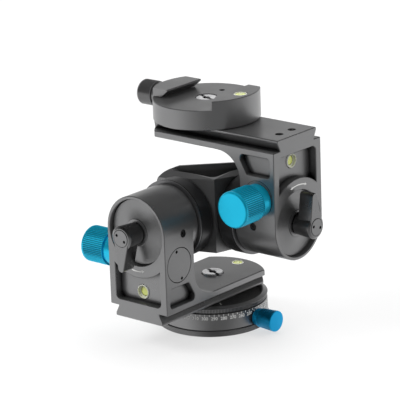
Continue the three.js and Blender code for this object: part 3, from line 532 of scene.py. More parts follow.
def knurled(profile, start, end, ridges, depth, slant, look, rows=1):
    # profile: (place, radius) along h; the zone from start to end gets its own rows of points
    blank = []
    for (t0, r0), (t1, r1) in zip(profile, profile[1:]):
        blank.append((t0, r0))
        if t0 <= start and t1 >= end:
            places = [start + (end - start) * k / rows for k in range(rows + 1)]
            blank += [(place, r0 + (r1 - r0) * (place - t0) / (t1 - t0)) for place in places]
    blank.append(profile[-1])
    return grow(lathe(blank, "h", steps=ridges * 2), knurlTree, {
        "From": start - knurlMargin, "To": end + knurlMargin, "Ridges": float(ridges),
        "Depth": depth, "Slant": slant, "Material": look})


print("trees: knurl and ticks")


# One tilt unit: bracket, dish, lever, knob, covers and its levels
bracketSizes = {
    "outerFace": 70.5, "legInner": 44.0, "legHalf": 23.0, "drumStart": 38.8, "bore": 20.9, "edge": 0.4,
    "armInner": 45.4, "armOuter": 49.4, "armEnd": 33.0, "armEdge": 0.5, "fillet": 17.0,
    "plateFace": 56.5, "plateHalf": 19.0, "plateLand": 1.4, "plateBevel": 0.5,
    "neckHalf": 16.6, "neckRise": 0.6, "windowHalf": 18.0, "windowFar": 45.1, "windowDepth": 5.2,
    "windowCorner": 3.0, "bossRadius": 28.6, "pocketNear": 3.5, "pocketTop": 45.5, "pocketLong": 23.0,
    "pocketShort": 17.8, "pocketShoulder": 3.0, "pocketHeight": 12.3, "pocketDepth": 4.2,
    "pocketCorner": 2.0, "pinInset": 8.8, "pinSpacing": 12.2, "pinRadius": 2.5, "pinDepth": 5.0,
    "mouthEdge": 0.2, "sideHoleInset": 17.6, "sideHoleRise": 0.8, "sideHoleRadius": 2.35,
    "sideHoleDepth": 1.7, "screwThick": 0.9, "screwEdge": 0.15, "screwHex": 1.2, "screwHexFloor": 0.25,
    "markRadius": 10.7, "markWidth": 0.3, "markDepth": 0.3, "wormInset": 12.8, "wormRise": 18.5,
    "wormBore": 5.3, "capRadius": 10.85, "capThick": 2.6, "capOffset": 1.2, "capPlay": 0.36,
    "hubRadius": 6.6, "hubWell": 2.5, "hubPlay": 0.6, "levelRadius": 4.5, "levelRise": 39.0,
    "levelSink": 3.4, "levelProud": 0.8, "levelGlassSunk": 1.7, "armLevelPlace": 25.0,
    "armLevelRadius": 3.8, "armLevelSink": 2.6, "armLevelBelow": 0.3, "armLevelPlay": 0.21,
    "headRadius": 6.5, "headSink": 2.3, "headPlay": 0.51, "shank": 2.9,
}
bracket = named(bracketSizes)
wormPlace = bracket.outerFace - bracket.wormInset
capRise = bracket.wormRise + bracket.capOffset


def makeBracket(prefix, place, body, withHead):
    z, face, half, edge = bracket, bracket.outerFace, bracket.legHalf, bracket.edge
    turns = arc(0, 0, half, math.pi, 2 * math.pi, 48)
    ends = [(z.legInner, 0), (face - edge, 0), (face, edge)]
    leg = stack([*turns, (half, z.armOuter - edge), (half - edge, z.armOuter),
                 (edge - half, z.armOuter), (-half, z.armOuter - edge)], "a", ends)
    foot = z.plateFace - z.plateBevel - z.plateLand
    side = [(half - edge, z.armInner), (half, z.armInner + edge), (half, z.armOuter - edge),
            (half - edge, z.armOuter), (z.neckHalf, z.armOuter),
            (z.neckHalf, z.armOuter + z.neckRise), (z.plateHalf, foot),
            (z.plateHalf, z.plateFace - z.plateBevel), (z.plateHalf - z.plateBevel, z.plateFace)]
    arm = stack([*side, *[(-s, h) for s, h in reversed(side)]], "a",
                [(-z.armEnd - past, 0), *ends[1:]])
    wide = half + z.armEdge
    swing = math.asin(wide / z.armEnd)
    plan = prism([(face + past * 2, -wide), (face + past * 2, wide),
                  *arc(0, 0, z.armEnd, math.pi - swing, math.pi + swing, 40)], "h",
                 z.armInner, z.plateFace, z.armEdge)
    arm = common(arm, plan)
    filletA, filletH = z.legInner - z.fillet, z.armInner - z.fillet
    fillet = prism([*arc(filletA, filletH, z.fillet, math.pi / 2, 0, 24),
                    (z.legInner + past, filletH), (z.legInner + past, z.armInner + past),
                    (filletA, z.armInner + past)], "s", -half, half)
    drum = lathe([(z.drumStart, 0), (z.drumStart, half - edge), (z.drumStart + edge, half),
                  (z.legInner + past, half), (z.legInner + past, 0)], "a")
    base = join(leg, arm, fillet, drum)

    tools = [lathe([(z.drumStart - past, 0), (z.drumStart - past, z.bore), (face - edge, z.bore),
                    (face + past, z.bore + edge + past), (face + past, 0)], "a")]
    start = math.acos(z.windowHalf / z.bossRadius)
    corners = rounded([(z.windowHalf, 0), (z.windowHalf, z.windowFar),
                       (-z.windowHalf, z.windowFar), (-z.windowHalf, 0)], z.windowCorner)
    farCorners = corners[cornerSteps + 1:3 * (cornerSteps + 1)]
    floor = face - z.windowDepth
    tools.append(pit([*arc(0, 0, z.bossRadius, math.pi - start, start, 24), *farCorners], "a",
                     floor, face, edge))
    near, top = face - z.pocketNear, z.pocketTop
    pocket = rounded([(near, top), (near - z.pocketLong + z.pocketShoulder / 2, top),
                      (near - z.pocketLong, top - z.pocketShoulder),
                      (near - z.pocketShort, top - z.pocketHeight),
                      (near, top - z.pocketHeight)], z.pocketCorner)
    for side in (-1, 1):
        tools.append(pit(pocket, "s", side * (half - z.pocketDepth), side * half, edge))
        tools.append(socket("s", side * (half - z.sideHoleDepth), side * half, z.sideHoleRadius,
                            face - z.sideHoleInset, z.sideHoleRise))
        tools.append(socket("h", z.plateFace - z.pinDepth, z.plateFace, z.pinRadius,
                            face - z.pinInset, side * z.pinSpacing / 2, z.mouthEdge))
    tools.append(rod("s", -half + z.capThick, half + past, z.wormBore, wormPlace, z.wormRise))
    tools.append(rod("s", -half - past, z.capThick + gap - half, z.capRadius + z.capPlay,
                     wormPlace, capRise))
    tools.append(socket("s", half - z.hubWell, half, z.hubRadius + z.hubPlay, wormPlace, z.wormRise))
    tools.append(rod("h", z.armInner - past, z.plateFace + past, z.shank + gap))
    markOuter = z.markRadius + z.markWidth
    tools.append(lathe([(half - z.markDepth, z.markRadius), (half + past, z.markRadius),
                        (half + past, markOuter), (half - z.markDepth, markOuter)], "s",
                       wormPlace, capRise))
    if withHead:
        tools.append(socket("h", z.armInner + z.headSink + gap, z.armInner, z.headRadius + z.headPlay,
                            edge=z.mouthEdge))
        tools.append(socket("h", z.armInner + z.armLevelSink + gap, z.armInner,
                            z.armLevelRadius + z.armLevelPlay, -z.armLevelPlace, 0, z.mouthEdge))
    tools.append(rod("a", floor - z.levelSink - gap, face, z.levelRadius + gap, 0, z.levelRise))
    finish(cut(base, *tools), prefix + "Bracket", place, body, looks["grey"],
           [prefix + "_bracket"])
    # set screws sit in the side holes, coloured near black as a painted shade for the dark inside of the
    # holes
    shadeScrews = None
    for side in (-1, 1):
        seat = side * (half - z.sideHoleDepth)
        hexStart, hexEnd = seat + side * z.screwHexFloor, seat + side * past * 2
        at = face - z.sideHoleInset, z.sideHoleRise
        span = sorted((seat, seat + side * z.screwThick))
        screw = cut(rod("s", *span, z.sideHoleRadius - z.screwEdge, *at, z.screwEdge, 32),
                    lathe([(hexStart, 0), (hexStart, z.screwHex), (hexEnd, z.screwHex),
                           (hexEnd, 0)], "s", *at, 6))
        shadeScrews = join(shadeScrews, screw) if shadeScrews else screw
    finish(shadeScrews, prefix + "SideScrewsPaintedShade", place, body, looks["hole"])


dishSizes = {"inset": 2.9, "rise": 1.7, "curve": 2.0, "land": 1.4, "back": 7.4, "radius": 20.6,
             "collar": 8.6, "collarWall": 1.9, "collarInset": 0.5, "rimEdge": 0.3, "collarEdge": 0.2,
             "bellSteps": 14, "linePitch": 0.5}


def makeDish(prefix, place, body, axis):
    z, face = named(dishSizes), bracket.outerFace
    rim, top = face - z.inset, face - z.collarInset
    inner, outer = z.collar - z.collarWall, z.radius - z.land
    shares = [k / z.bellSteps for k in range(z.bellSteps + 1)]
    bell = [(rim + z.rise * share ** z.curve, outer - (outer - z.collar) * share) for share in shares]
    profile = [(face - z.back, inner), (face - z.back, z.radius), (rim - z.rimEdge, z.radius),
               (rim, z.radius - z.rimEdge), *bell, (top - z.collarEdge, z.collar),
               (top, z.collar - z.collarEdge), (top, inner)]
    look = turnedLook(prefix + "Dish", "grey", prefix + "_front_dish", axis, z.linePitch)
    finish(lathe(profile, "a"), prefix + "Dish", place, body, look,
           [prefix + "_front_dish"], creaseDegrees=35)


leverSizes = {"foot": 0.3, "front": 13.5, "armBack": 3.5, "armEdge": 0.35, "footRadius": 6.7,
              "hubRadius": 7.6, "bevel": 1.0, "headRadius": 6.2, "length": 19.5, "tipRadius": 2.3,
              "lean": 0.055, "stemRadius": 5.0, "stemEnd": 7.6, "soft": 0.25, "capRadius": 5.3,
              "capDepth": 1.8, "capProud": 0.3, "capEdge": 0.2, "pinReach": 3.35, "pinRadius": 0.95,
              "pinDepth": 0.9, "pinAngles": {"lower": -0.52, "upper": 0.31}}  # lean, angles: radians


def makeLever(prefix, place, body):
    z, face = named(leverSizes), bracket.outerFace
    front, capFront = face + z.front, face + z.front + z.capProud
    outline = [*arc(0, z.length, z.tipRadius, 0, math.pi, 12),
               *arc(0, 0, z.headRadius, math.pi, 2 * math.pi, 32)]
    leanCos, leanSin = math.cos(z.lean), math.sin(z.lean)
    outline = [(s * leanCos + h * leanSin, h * leanCos - s * leanSin) for s, h in outline]
    arm = prism(outline, "a", face + z.armBack, front, z.armEdge)
    hub = lathe(softened([(face - z.stemEnd, 0), (face - z.stemEnd, z.stemRadius),
                          (face + z.foot, z.stemRadius), (face + z.foot, z.footRadius),
                          (front - z.bevel, z.hubRadius), (front, z.headRadius), (front, 0)],
                         z.soft), "a", steps=72)
    base = cut(join(arm, hub), rod("a", front - z.capDepth - gap, front + past, z.capRadius + gap))
    finish(base, prefix + "Lever", place, body, looks["lever"], [prefix + "_lever"])
    cap = rod("a", front - z.capDepth, capFront, z.capRadius, edge=z.capEdge)
    pinAngle = z.pinAngles[prefix]
    holes = [rod("a", capFront - z.pinDepth, front + past, z.pinRadius,
                 side * z.pinReach * math.cos(pinAngle),
                 side * z.pinReach * math.sin(pinAngle), steps=24)
             for side in (-1, 1)]
    finish(cut(cap, *holes), prefix + "LeverCap", place, body, looks["grey"],
           [prefix + "_lever_cap"])


knobSizes = {"hubSink": 2.0, "hubRadius": 6.6, "standOff": 0.3, "collarRadius": 10.4,
             "collarLength": 6.2, "stepLength": 0.8, "stepRadius": 9.9, "radius": 11.4, "body": 17.6,
             "soft": 0.25, "endRound": 1.3, "ridges": 58, "ridgeDepth": 0.36, "foreMargin": 0.3,
             "endMargin": 2.2, "linePitch": 0.4}


def makeWormKnob(prefix, place, body, axis):
    z, half = named(knobSizes), bracket.legHalf
    collar = half + z.standOff
    step = collar + z.collarLength
    start = step + z.stepLength
    end = start + z.body
    look = turnedLook(prefix + "Knob", "blue", prefix + "_worm_knob", axis, z.linePitch)
    profile = softened([(half - z.hubSink, 0), (half - z.hubSink, z.hubRadius), (collar, z.hubRadius),
                        (collar, z.collarRadius), (step, z.collarRadius), (step, z.stepRadius),
                        (start, z.stepRadius), (start, z.radius), (end - z.endRound, z.radius)], z.soft)
    profile += arc(end - z.endRound, z.radius - z.endRound, z.endRound, math.pi / 2, 0, 6)[1:]
    knob = knurled([*profile, (end, 0)], start + z.foreMargin, end - z.endMargin, z.ridges,
                   z.ridgeDepth, 0.0, look)
    # the blank's own Z becomes s, at the worm's place
    turn = Matrix(((1, 0, 0, wormPlace), (0, 0, 1, 0), (0, 1, 0, bracket.wormRise), (0, 0, 0, 1)))
    finish(knob, prefix + "WormKnob", place @ turn, body, look, [prefix + "_worm_knob"])


coverSizes = {"start": 37.3, "lip": 1.2, "radius": 25.0, "spigot": 4.7, "spigotRadius": 20.6,
              "soft": 0.4, "bore": 9.3, "flangeStart": 26.3, "flangeRadius": 25.0, "flangeBevel": 0.9,
              "flangeBevelLength": 2.0, "flangeSoft": 0.3, "capEdge": 0.2, "capSpigot": 8.0,
              "capSpigotRadius": 5.0, "capBore": 2.7, "spanner": 9.1, "spannerAngle": 0.22,
              "spannerRadius": 1.0, "spannerDepth": 1.4}  # spannerAngle in radians


def makeCovers(prefix, place, body, elbowBody):
    z, half = named(coverSizes), bracket.legHalf
    lipEnd, spigotEnd, flangeEnd = z.start + z.lip, z.start + z.spigot, z.start - gap
    cover = lathe(softened([(z.start, z.bore), (z.start, z.radius), (lipEnd, z.radius),
                            (lipEnd, z.spigotRadius), (spigotEnd, z.spigotRadius),
                            (spigotEnd, z.bore)], z.soft), "a")
    finish(cover, prefix + "RearCover", place, body, looks["rim"], [prefix + "_rear_cover"])
    flange = lathe(softened([(z.flangeStart, z.bore), (z.flangeStart, z.flangeRadius - z.flangeBevel),
                             (z.flangeStart + z.flangeBevelLength, z.flangeRadius),
                             (flangeEnd, z.flangeRadius), (flangeEnd, z.bore)], z.flangeSoft), "a")
    finish(flange, prefix + "Flange", place, elbowBody, looks["black"], [prefix + "_flange"])
    capEnd = bracket.capThick - half
    cap = join(rod("s", -half, capEnd, bracket.capRadius, wormPlace, capRise, z.capEdge),
               rod("s", capEnd - past, capEnd + z.capSpigot, z.capSpigotRadius, wormPlace,
                   bracket.wormRise))
    holes = [rod("s", -half - past, z.spannerDepth - half, z.spannerRadius,
                 wormPlace - side * z.spanner * math.sin(z.spannerAngle),
                 capRise + side * z.spanner * math.cos(z.spannerAngle), steps=24)
             for side in (-1, 1)]
    cap = cut(cap, *holes, rod("s", capEnd, half, z.capBore, wormPlace, bracket.wormRise))
    finish(cap, prefix + "WormCap", place, body, looks["grey"], [prefix + "_worm_cap"])


levelSizes = {"edge": 0.3, "sunk": 0.25, "dome": 0.3, "domeSteps": 6, "glassShare": 0.84,
              "rimShare": 0.87}


def makeLevel(name, place, body, node, way, floor, top, radius, u, v, sunk=levelSizes["sunk"]):
    # a cup with a raised rim and a domed clear top, sunk below the rim
    z = named(levelSizes)
    side, glass = 1 if top > floor else -1, radius * z.glassShare
    shares = [k / z.domeSteps for k in range(z.domeSteps, -1, -1)]
    dome = [(top - side * (sunk + z.dome * share ** 2), glass * share) for share in shares]
    profile = [(floor, 0), (floor, radius), (top - side * z.edge, radius), (top, radius - z.edge),
               (top, radius * z.rimShare), *dome]
    centre = list(middleOf(node))
    axis = {"a": 1, "h": 2} if place is lowerUnit else {"a": 0, "h": 2}
    centre[axis[way]] = (place @ Vector(spots[way](top, u, v)))[axis[way]]
    finish(lathe(profile, way, u, v, 64), name, place, body, vialLook(name, centre, glass),
           [node], creaseDegrees=35)


markSizes = {"radius": 24.4, "width": 0.75, "head": 1.9, "headLength": 2.0, "lift": 0.01, "thick": 0.04,
             "lowerWay": (80, 104), "upperWay": (72, 110)}  # ways in degrees from s toward h


def arrowMark(name, place, body, way, bothEnds):
    # an arc line on the boss with an arrow head at its end, or at both
    z, face = named(markSizes), bracket.outerFace
    first, last = (math.radians(angle) for angle in way)
    room = z.headLength / z.radius
    lineStart, lineEnd = first + room * bothEnds, last - room
    outer = arc(0, 0, z.radius + z.width / 2, lineStart, lineEnd, 24)
    inner = arc(0, 0, z.radius - z.width / 2, lineEnd, lineStart, 24)

    def tip(lineAngle, tipAngle):
        return [(math.cos(t) * r, math.sin(t) * r) for t, r in (
            (lineAngle, z.radius + z.head / 2), (tipAngle, z.radius),
            (lineAngle, z.radius - z.head / 2))]

    outline = [*outer, *tip(lineEnd, last), *inner,
               *(tip(lineStart, first)[::-1] if bothEnds else [])]
    finish(prism(outline, "a", face + z.lift, face + z.thick), name, place, body, looks["paint"])


# drumAxis: the world axis along the drum, 0 for X and 1 for Y; the knob lies on the other one
for prefix, place, body, drumAxis in (("lower", lowerUnit, "pan_unit", 1),
                                      ("upper", upperUnit, "upper_unit", 0)):
    makeBracket(prefix, place, body, prefix == "lower")
    makeDish(prefix, place, body, drumAxis)
    makeLever(prefix, place, prefix + "_clutch")
    makeWormKnob(prefix, place, prefix + "_drive", 1 - drumAxis)
    makeCovers(prefix, place, body, "elbow_unit")
    floor = bracket.outerFace - bracket.windowDepth
    makeLevel(prefix + "WindowLevel", place, body, prefix + "_window_level", "a",
              floor - bracket.levelSink, floor + bracket.levelProud, bracket.levelRadius, 0,
              bracket.levelRise, bracket.levelGlassSunk)
    print("unit:", prefix)
makeLevel("lowerArmLevel", lowerUnit, "pan_unit", "lower_arm_level", "h",
          bracket.armInner + bracket.armLevelSink, bracket.armInner - bracket.armLevelBelow,
          bracket.armLevelRadius, -bracket.armLevelPlace, 0)
arrowMark("lowerArrow", lowerUnit, "pan_unit", markSizes["lowerWay"], False)
arrowMark("upperArrow", upperUnit, "upper_unit", markSizes["upperWay"], True)


# Elbow
elbowSizes = {"half": 26.0, "rise": 26.9, "backSet": 2.4, "round": 29.4, "end": 21.0, "endFillet": 10.9,
              "rimSlope": 0.138, "rimPitch": 1.08, "noseLift": 6.6, "noseSlope": 0.11, "wall": 6.5,
              "backWall": 3.6, "rim": 2.6, "backRim": 1.0, "depth": 40.0, "corner": 1.8,
              "mouthCorner": 4.0, "ease": 0.45, "studHole": 4.0}


def makeElbow():
    z = named(elbowSizes)
    half, end, back, reach = z.half, z.end, z.backSet, z.half * 2
    base = prism([(half, -half), (half, end), (end + back, end), (-end, -end - back), (-end, -half)],
                 "h", -z.rise, z.rise)

    def endOutline(side):
        centre = end - z.endFillet
        rise = math.sqrt((z.round - z.endFillet) ** 2 - centre ** 2)
        angle = math.atan2(rise, centre)
        upper = [*arc(0, 0, z.round, math.pi / 2, angle, 12),
                 *arc(centre, rise, z.endFillet, angle, 0, 12)[1:]]
        lower = [(u, -v) for u, v in reversed(upper)]
        return [(side * u, v) for u, v in [*upper, *lower, (-reach, -z.round), (-reach, z.round)]]

    base = common(base, prism(endOutline(1), "a", -reach, reach),
                  prism(endOutline(-1), "s", -reach, reach))

    def tilted(slopeX, slopeY, height, flip):
        normal = Vector((-slopeX, -slopeY, 1)).normalized() * (-1 if flip else 1)
        turn = Vector((0, 0, 1)).rotation_difference(normal).to_matrix().to_4x4()
        slab = box("h", 0, reach, -reach, reach, -reach, reach)
        slab.data.transform(Matrix.Translation((half, -half, height)) @ turn)
        return slab

    base = cut(base, tilted(z.rimSlope, z.rimPitch, z.rise, False),
               tilted(-z.rimPitch, -z.rimSlope, z.rise, False),
               tilted(z.noseSlope, -z.noseSlope, z.noseLift - z.rise, True))
    base = eased(base, z.ease)

    def cavity(wall, backWall, corner):
        front = half - wall
        far = front - back - backWall * math.sqrt(2)
        return rounded([(front, -front), (front, far), (-far, -front)], corner)

    deep = cavity(z.wall, z.backWall, z.corner)
    wide = cavity(z.rim - past, z.backRim, z.mouthCorner)
    drop, count = z.wall - z.rim, len(deep)
    points = [(u, v, z.rise - drop) for u, v in deep] + [(u, v, z.rise + past) for u, v in wide]
    faces = [[i, (i + 1) % count, count + (i + 1) % count, count + i] for i in range(count)]
    faces += [list(range(count)), list(range(count, count * 2))]
    base = cut(base, prism(deep, "h", z.rise - z.depth, z.rise - drop / 2), solid(points, faces))
    stud = half - z.wall - past
    base = cut(base, rod("a", stud, half + past, z.studHole), rod("s", -half - past, -stud, z.studHole))
    finish(base, "elbowBlock", atElbow, "elbow_unit", looks["elbow"], ["elbow"])


makeElbow()
print("elbow: done")


# Panning base
baseSizes = {"ringRadius": 35.2, "ringHeight": 3.6, "ringWall": 6.0, "ringEdge": 0.35,
             "ringLowEdge": 0.3, "ringTopEdge": 0.2, "knurlFrom": 0.35, "knurlTop": 0.25,
             "ringRidges": 208, "ringDepth": 0.3, "ringSlant": 1.0, "ringRows": 6,
             "height": 14.4, "lowRadius": 34.5, "topRadius": 34.0, "floor": 5.0, "bore": 28.0,
             "boss": 14.0, "bossHeight": 12.4, "soft": 0.3, "bushRadius": 8.0, "lockHeight": 8.2,
             "lockBore": 2.5, "padInner": 25.4, "padOuter": 29.0, "padRadius": 2.7}
discSizes = {"start": 14.9, "knurlRadius": 33.9, "edge": 0.2, "knurlEnd": 17.5, "knurlLow": 0.25,
             "knurlTop": 0.1, "ridges": 230, "ridgeDepth": 0.22, "rimRadius": 34.3, "rimEnd": 17.7,
             "rimRise": 0.05, "bevel": 2.2, "bevelDrop": 0.15, "bevelEdge": 0.3, "seat": 18.8,
             "lip": 1.1, "floorDrop": 2.1, "boss": 15.0, "shank": 2.9, "lineInner": 19.2,
             "lineOuter": 23.2, "lineHalf": 0.3, "lineLift": 0.01, "lineThick": 0.05, "lineDegrees": -38}
dialSizes = {"radius": 34.07, "zeroDegrees": 240.6, "tickDegrees": 5, "top": 14.25, "long": 1.15,
             "short": 1.15, "width": 0.4, "thick": 0.1, "numberDegrees": 10, "numberHeight": 2.1,
             "capShare": 0.72, "numberWeight": 0.055, "numberThick": 0.02, "numberFoot": 10.75,
             "numberSpread": 0.95, "proud": 0.04}
lockSizes = {"start": 35.5, "end": 50.8, "inner": 6.0, "outer": 6.7, "soft": 0.6, "collar": 3.4,
             "collarRadius": 5.5, "ridges": 56, "ridgeDepth": 0.16, "knurlFrom": 0.8, "knurlTop": 0.9,
             "linePitch": 0.4}
base = named(baseSizes)


def makeBase():
    z, inner = base, base.ringRadius - base.ringWall
    ring = knurled([(0, inner), (0, z.ringRadius - z.ringEdge), (z.ringLowEdge, z.ringRadius),
                    (z.ringHeight - z.ringTopEdge, z.ringRadius),
                    (z.ringHeight, z.ringRadius - z.ringEdge), (z.ringHeight, inner)],
                   z.knurlFrom, z.ringHeight - z.knurlTop, z.ringRidges, z.ringDepth, z.ringSlant,
                   looks["satin"], z.ringRows)
    finish(ring, "baseRing", upright, "base", looks["satin"], ["base_ring"])
    inside, step = z.bushRadius + gap, z.ringHeight + gap
    profile = [(0, inside), (0, inner - gap), (step, inner - gap), (step, z.lowRadius),
               (z.height, z.topRadius), (z.height, z.bore), (z.floor, z.bore), (z.floor, z.boss),
               (z.bossHeight, z.boss), (z.bossHeight, inside)]
    body = cut(lathe(softened(profile, z.soft), "h", steps=144),
               rod("a", z.boss + past, z.ringRadius, z.lockBore, 0, z.lockHeight, steps=32),
               rod("a", z.padInner, z.padOuter, z.padRadius, 0, z.lockHeight, steps=32))
    finish(body, "baseBody", upright, "base", looks["grey"], ["base_body"])


def makeDisc():
    z = named(discSizes)
    bevelInner, dishFloor = z.rimRadius - z.bevel, z.seat - z.floorDrop
    lipInner = bevelInner - z.lip
    profile = [(z.start, z.shank + gap), (z.start, z.knurlRadius - z.edge),
               (z.start + z.edge, z.knurlRadius), (z.knurlEnd, z.knurlRadius),
               (z.knurlEnd + z.rimRise, z.rimRadius), (z.rimEnd, z.rimRadius),
               (z.seat - z.bevelDrop, bevelInner), (z.seat, bevelInner - z.bevelEdge),
               (z.seat, lipInner + z.edge), (z.seat - z.edge, lipInner), (dishFloor, lipInner - z.lip),
               (dishFloor, z.boss), (z.seat, z.boss), (z.seat, z.shank + gap)]
    disc = knurled(profile, z.start + z.knurlLow, z.knurlEnd - z.knurlTop, z.ridges, z.ridgeDepth, 0.0,
                   looks["satin"])
    finish(disc, "panDisc", upright, "pan_unit", looks["satin"], ["pan_disc"])
    dash = box("h", dishFloor + z.lineLift, dishFloor + z.lineThick, z.lineInner, z.lineOuter,
               -z.lineHalf, z.lineHalf)
    dash.data.transform(Matrix.Rotation(math.radians(z.lineDegrees), 4, "Z"))
    finish(dash, "panIndexLine", upright, "pan_unit", looks["paint"])


def makeDial():
    z, foot = named(dialSizes), base.ringHeight + gap
    ticks = grow(solid([(0, 0, 0)], []), tickTree, {
        "Count": 360 // z.tickDegrees, "Radius": z.radius, "Top": z.top,
        "Start": math.radians(z.zeroDegrees), "Step": math.radians(-z.tickDegrees), "Long": z.long,
        "Short": z.short, "Width": z.width, "Thick": z.thick, "Material": looks["paint"]})
    finish(ticks, "dialTicks", upright, "base", looks["paint"])
    work = bmesh.new()
    for number in range(0, 360, z.numberDegrees):
        curve = bpy.data.curves.new("number", "FONT")
        curve.body, curve.size, curve.align_x = str(number), z.numberHeight / z.capShare, "CENTER"
        curve.resolution_u, curve.extrude, curve.offset = 3, z.numberThick, z.numberWeight
        text = newObject("number", curve)
        graph = bpy.context.evaluated_depsgraph_get()
        plain = bpy.data.meshes.new_from_object(text.evaluated_get(graph))
        bpy.data.objects.remove(text)
        for point in plain.vertices:
            u, v, w = point.co
            angle = math.radians(z.zeroDegrees - number) + u * z.numberSpread / z.radius
            share = (z.numberFoot + v - foot) / (base.height - foot)
            radius = base.lowRadius + (base.topRadius - base.lowRadius) * share + z.proud + w
            point.co = (radius * math.cos(angle), radius * math.sin(angle), z.numberFoot + v)
        work.from_mesh(plain)
    mesh = bpy.data.meshes.new("numbers")
    work.to_mesh(mesh)
    work.free()
    finish(newObject("numbers", mesh), "dialNumbers", upright, "base", looks["paint"])


def makeLock():
    z = named(lockSizes)
    collarEnd = z.start + z.collar
    look = turnedLook("panLockKnob", "deepBlue", "pan_lock_knob", 0, z.linePitch)
    profile = softened([(z.start, 0), (z.start, z.collarRadius), (collarEnd, z.collarRadius),
                        (collarEnd, z.inner), (z.end, z.outer), (z.end, 0)], z.soft)
    knob = knurled(profile, collarEnd + z.knurlFrom, z.end - z.knurlTop, z.ridges, z.ridgeDepth, 0.0,
                   look)
    turn = Matrix(((0, 0, 1, 0), (1, 0, 0, 0), (0, 1, 0, base.lockHeight), (0, 0, 0, 1)))
    finish(knob, "panLockKnob", upright @ turn, "pan_lock", look, ["pan_lock_knob"])


makeBase()
makeDisc()
makeDial()
makeLock()
print("base: done")


# Screws through the arms
screwSizes = {"head": 6.5, "shank": 2.9, "soft": 0.4, "slot": 2.1, "slotDepth": 2.2, "hex": 2.4,
              "hexDepth": 3.2, "hexEdge": 0.3, "dish": 0.5, "dishStartShare": 0.3,
              "dishReachShare": 0.6, "slotDegrees": -20, "armTip": 15.9, "armProud": 1.2,
              "clampTip": 46.4, "clampSeat": 3.2, "clampSunk": 0.3}
clampHeight = 12.7
axisHeight = drumSpot.z / mm
clampFlat = axisHeight + bracket.plateFace + gap + clampHeight
armTop = axisHeight - bracket.armInner


def makeScrew(name, body, node, tip, seat, top):
    z = named(screwSizes)
    head = lathe(softened([(tip, 0), (tip, z.shank), (seat, z.shank), (seat, z.head), (top, z.head),
                           (top - z.dish * z.dishStartShare, z.head * z.dishReachShare),
                           (top - z.dish, 0)], z.soft), "h", steps=64)
    slot = box("h", top - z.slotDepth, top + past, -z.head - past, z.head + past,
               -z.slot / 2, z.slot / 2)
    hole = lathe([(top - z.hexDepth, 0), (top - z.hexDepth, z.hex), (top + past, z.hex + z.hexEdge),
                  (top + past, 0)], "h", steps=6)
    obj = cut(head, slot, hole)
    obj.data.transform(Matrix.Rotation(math.radians(z.slotDegrees), 4, "Z"))
    finish(obj, name, upright, body, looks["silver"], [node])


screw = named(screwSizes)
makeScrew("armScrew", "pan_unit", "arm_screw", screw.armTip, armTop - bracket.headSink,
          armTop + screw.armProud)
makeScrew("clampScrew", "upper_unit", "clamp_screw", axisHeight + screw.clampTip,
          clampFlat - screw.clampSeat, clampFlat - screw.clampSunk)
print("screws: done")


# Dovetail clamp
clampSizes = {"radius": 33.4, "jawRise": 5.5, "mouth": 17.0, "root": 22.0, "land": 1.0, "foot": 0.4,
              "mouthPast": 3.0, "fixedHalf": 20.8, "lead": 23.53, "leadLength": 13.3, "leadStart": 24.0,
              "front": 17.5, "rear": 15.1, "legHalf": 10.6, "legDepth": 11.0, "legPlay": 0.5,
              "legInner": 23.5, "rodRise": 8.8, "rodRadius": 2.4, "rodInner": 9.0, "collarOuter": 39.3,
              "collarRadius": 7.3, "collarInside": 2.0, "soft": 0.4, "guide": 1.2, "guideSpacing": 15.0,
              "guideInner": 14.0, "guideReach": 4.0, "shankBore": 3.2, "screwWell": 3.5,
              "screwWellRadius": 7.0, "stopRadius": 1.75, "stopPlace": 17.5, "stopSide": 2.0,
              "stopDepth": 4.0, "levelRadius": 4.2, "levelPlace": 26.4, "levelSide": 1.0,
              "levelSink": 3.0, "levelPlay": 0.21, "edge": 0.4, "mouthEdge": 0.2}
clampKnobSizes = {"radius": 8.1, "start": 39.6, "end": 51.6, "edge": 0.5, "edgeLength": 0.4,
                  "round": 2.2, "ridges": 44, "depth": 0.3, "slant": 0.85, "knurlFrom": 0.8, "rows": 15}


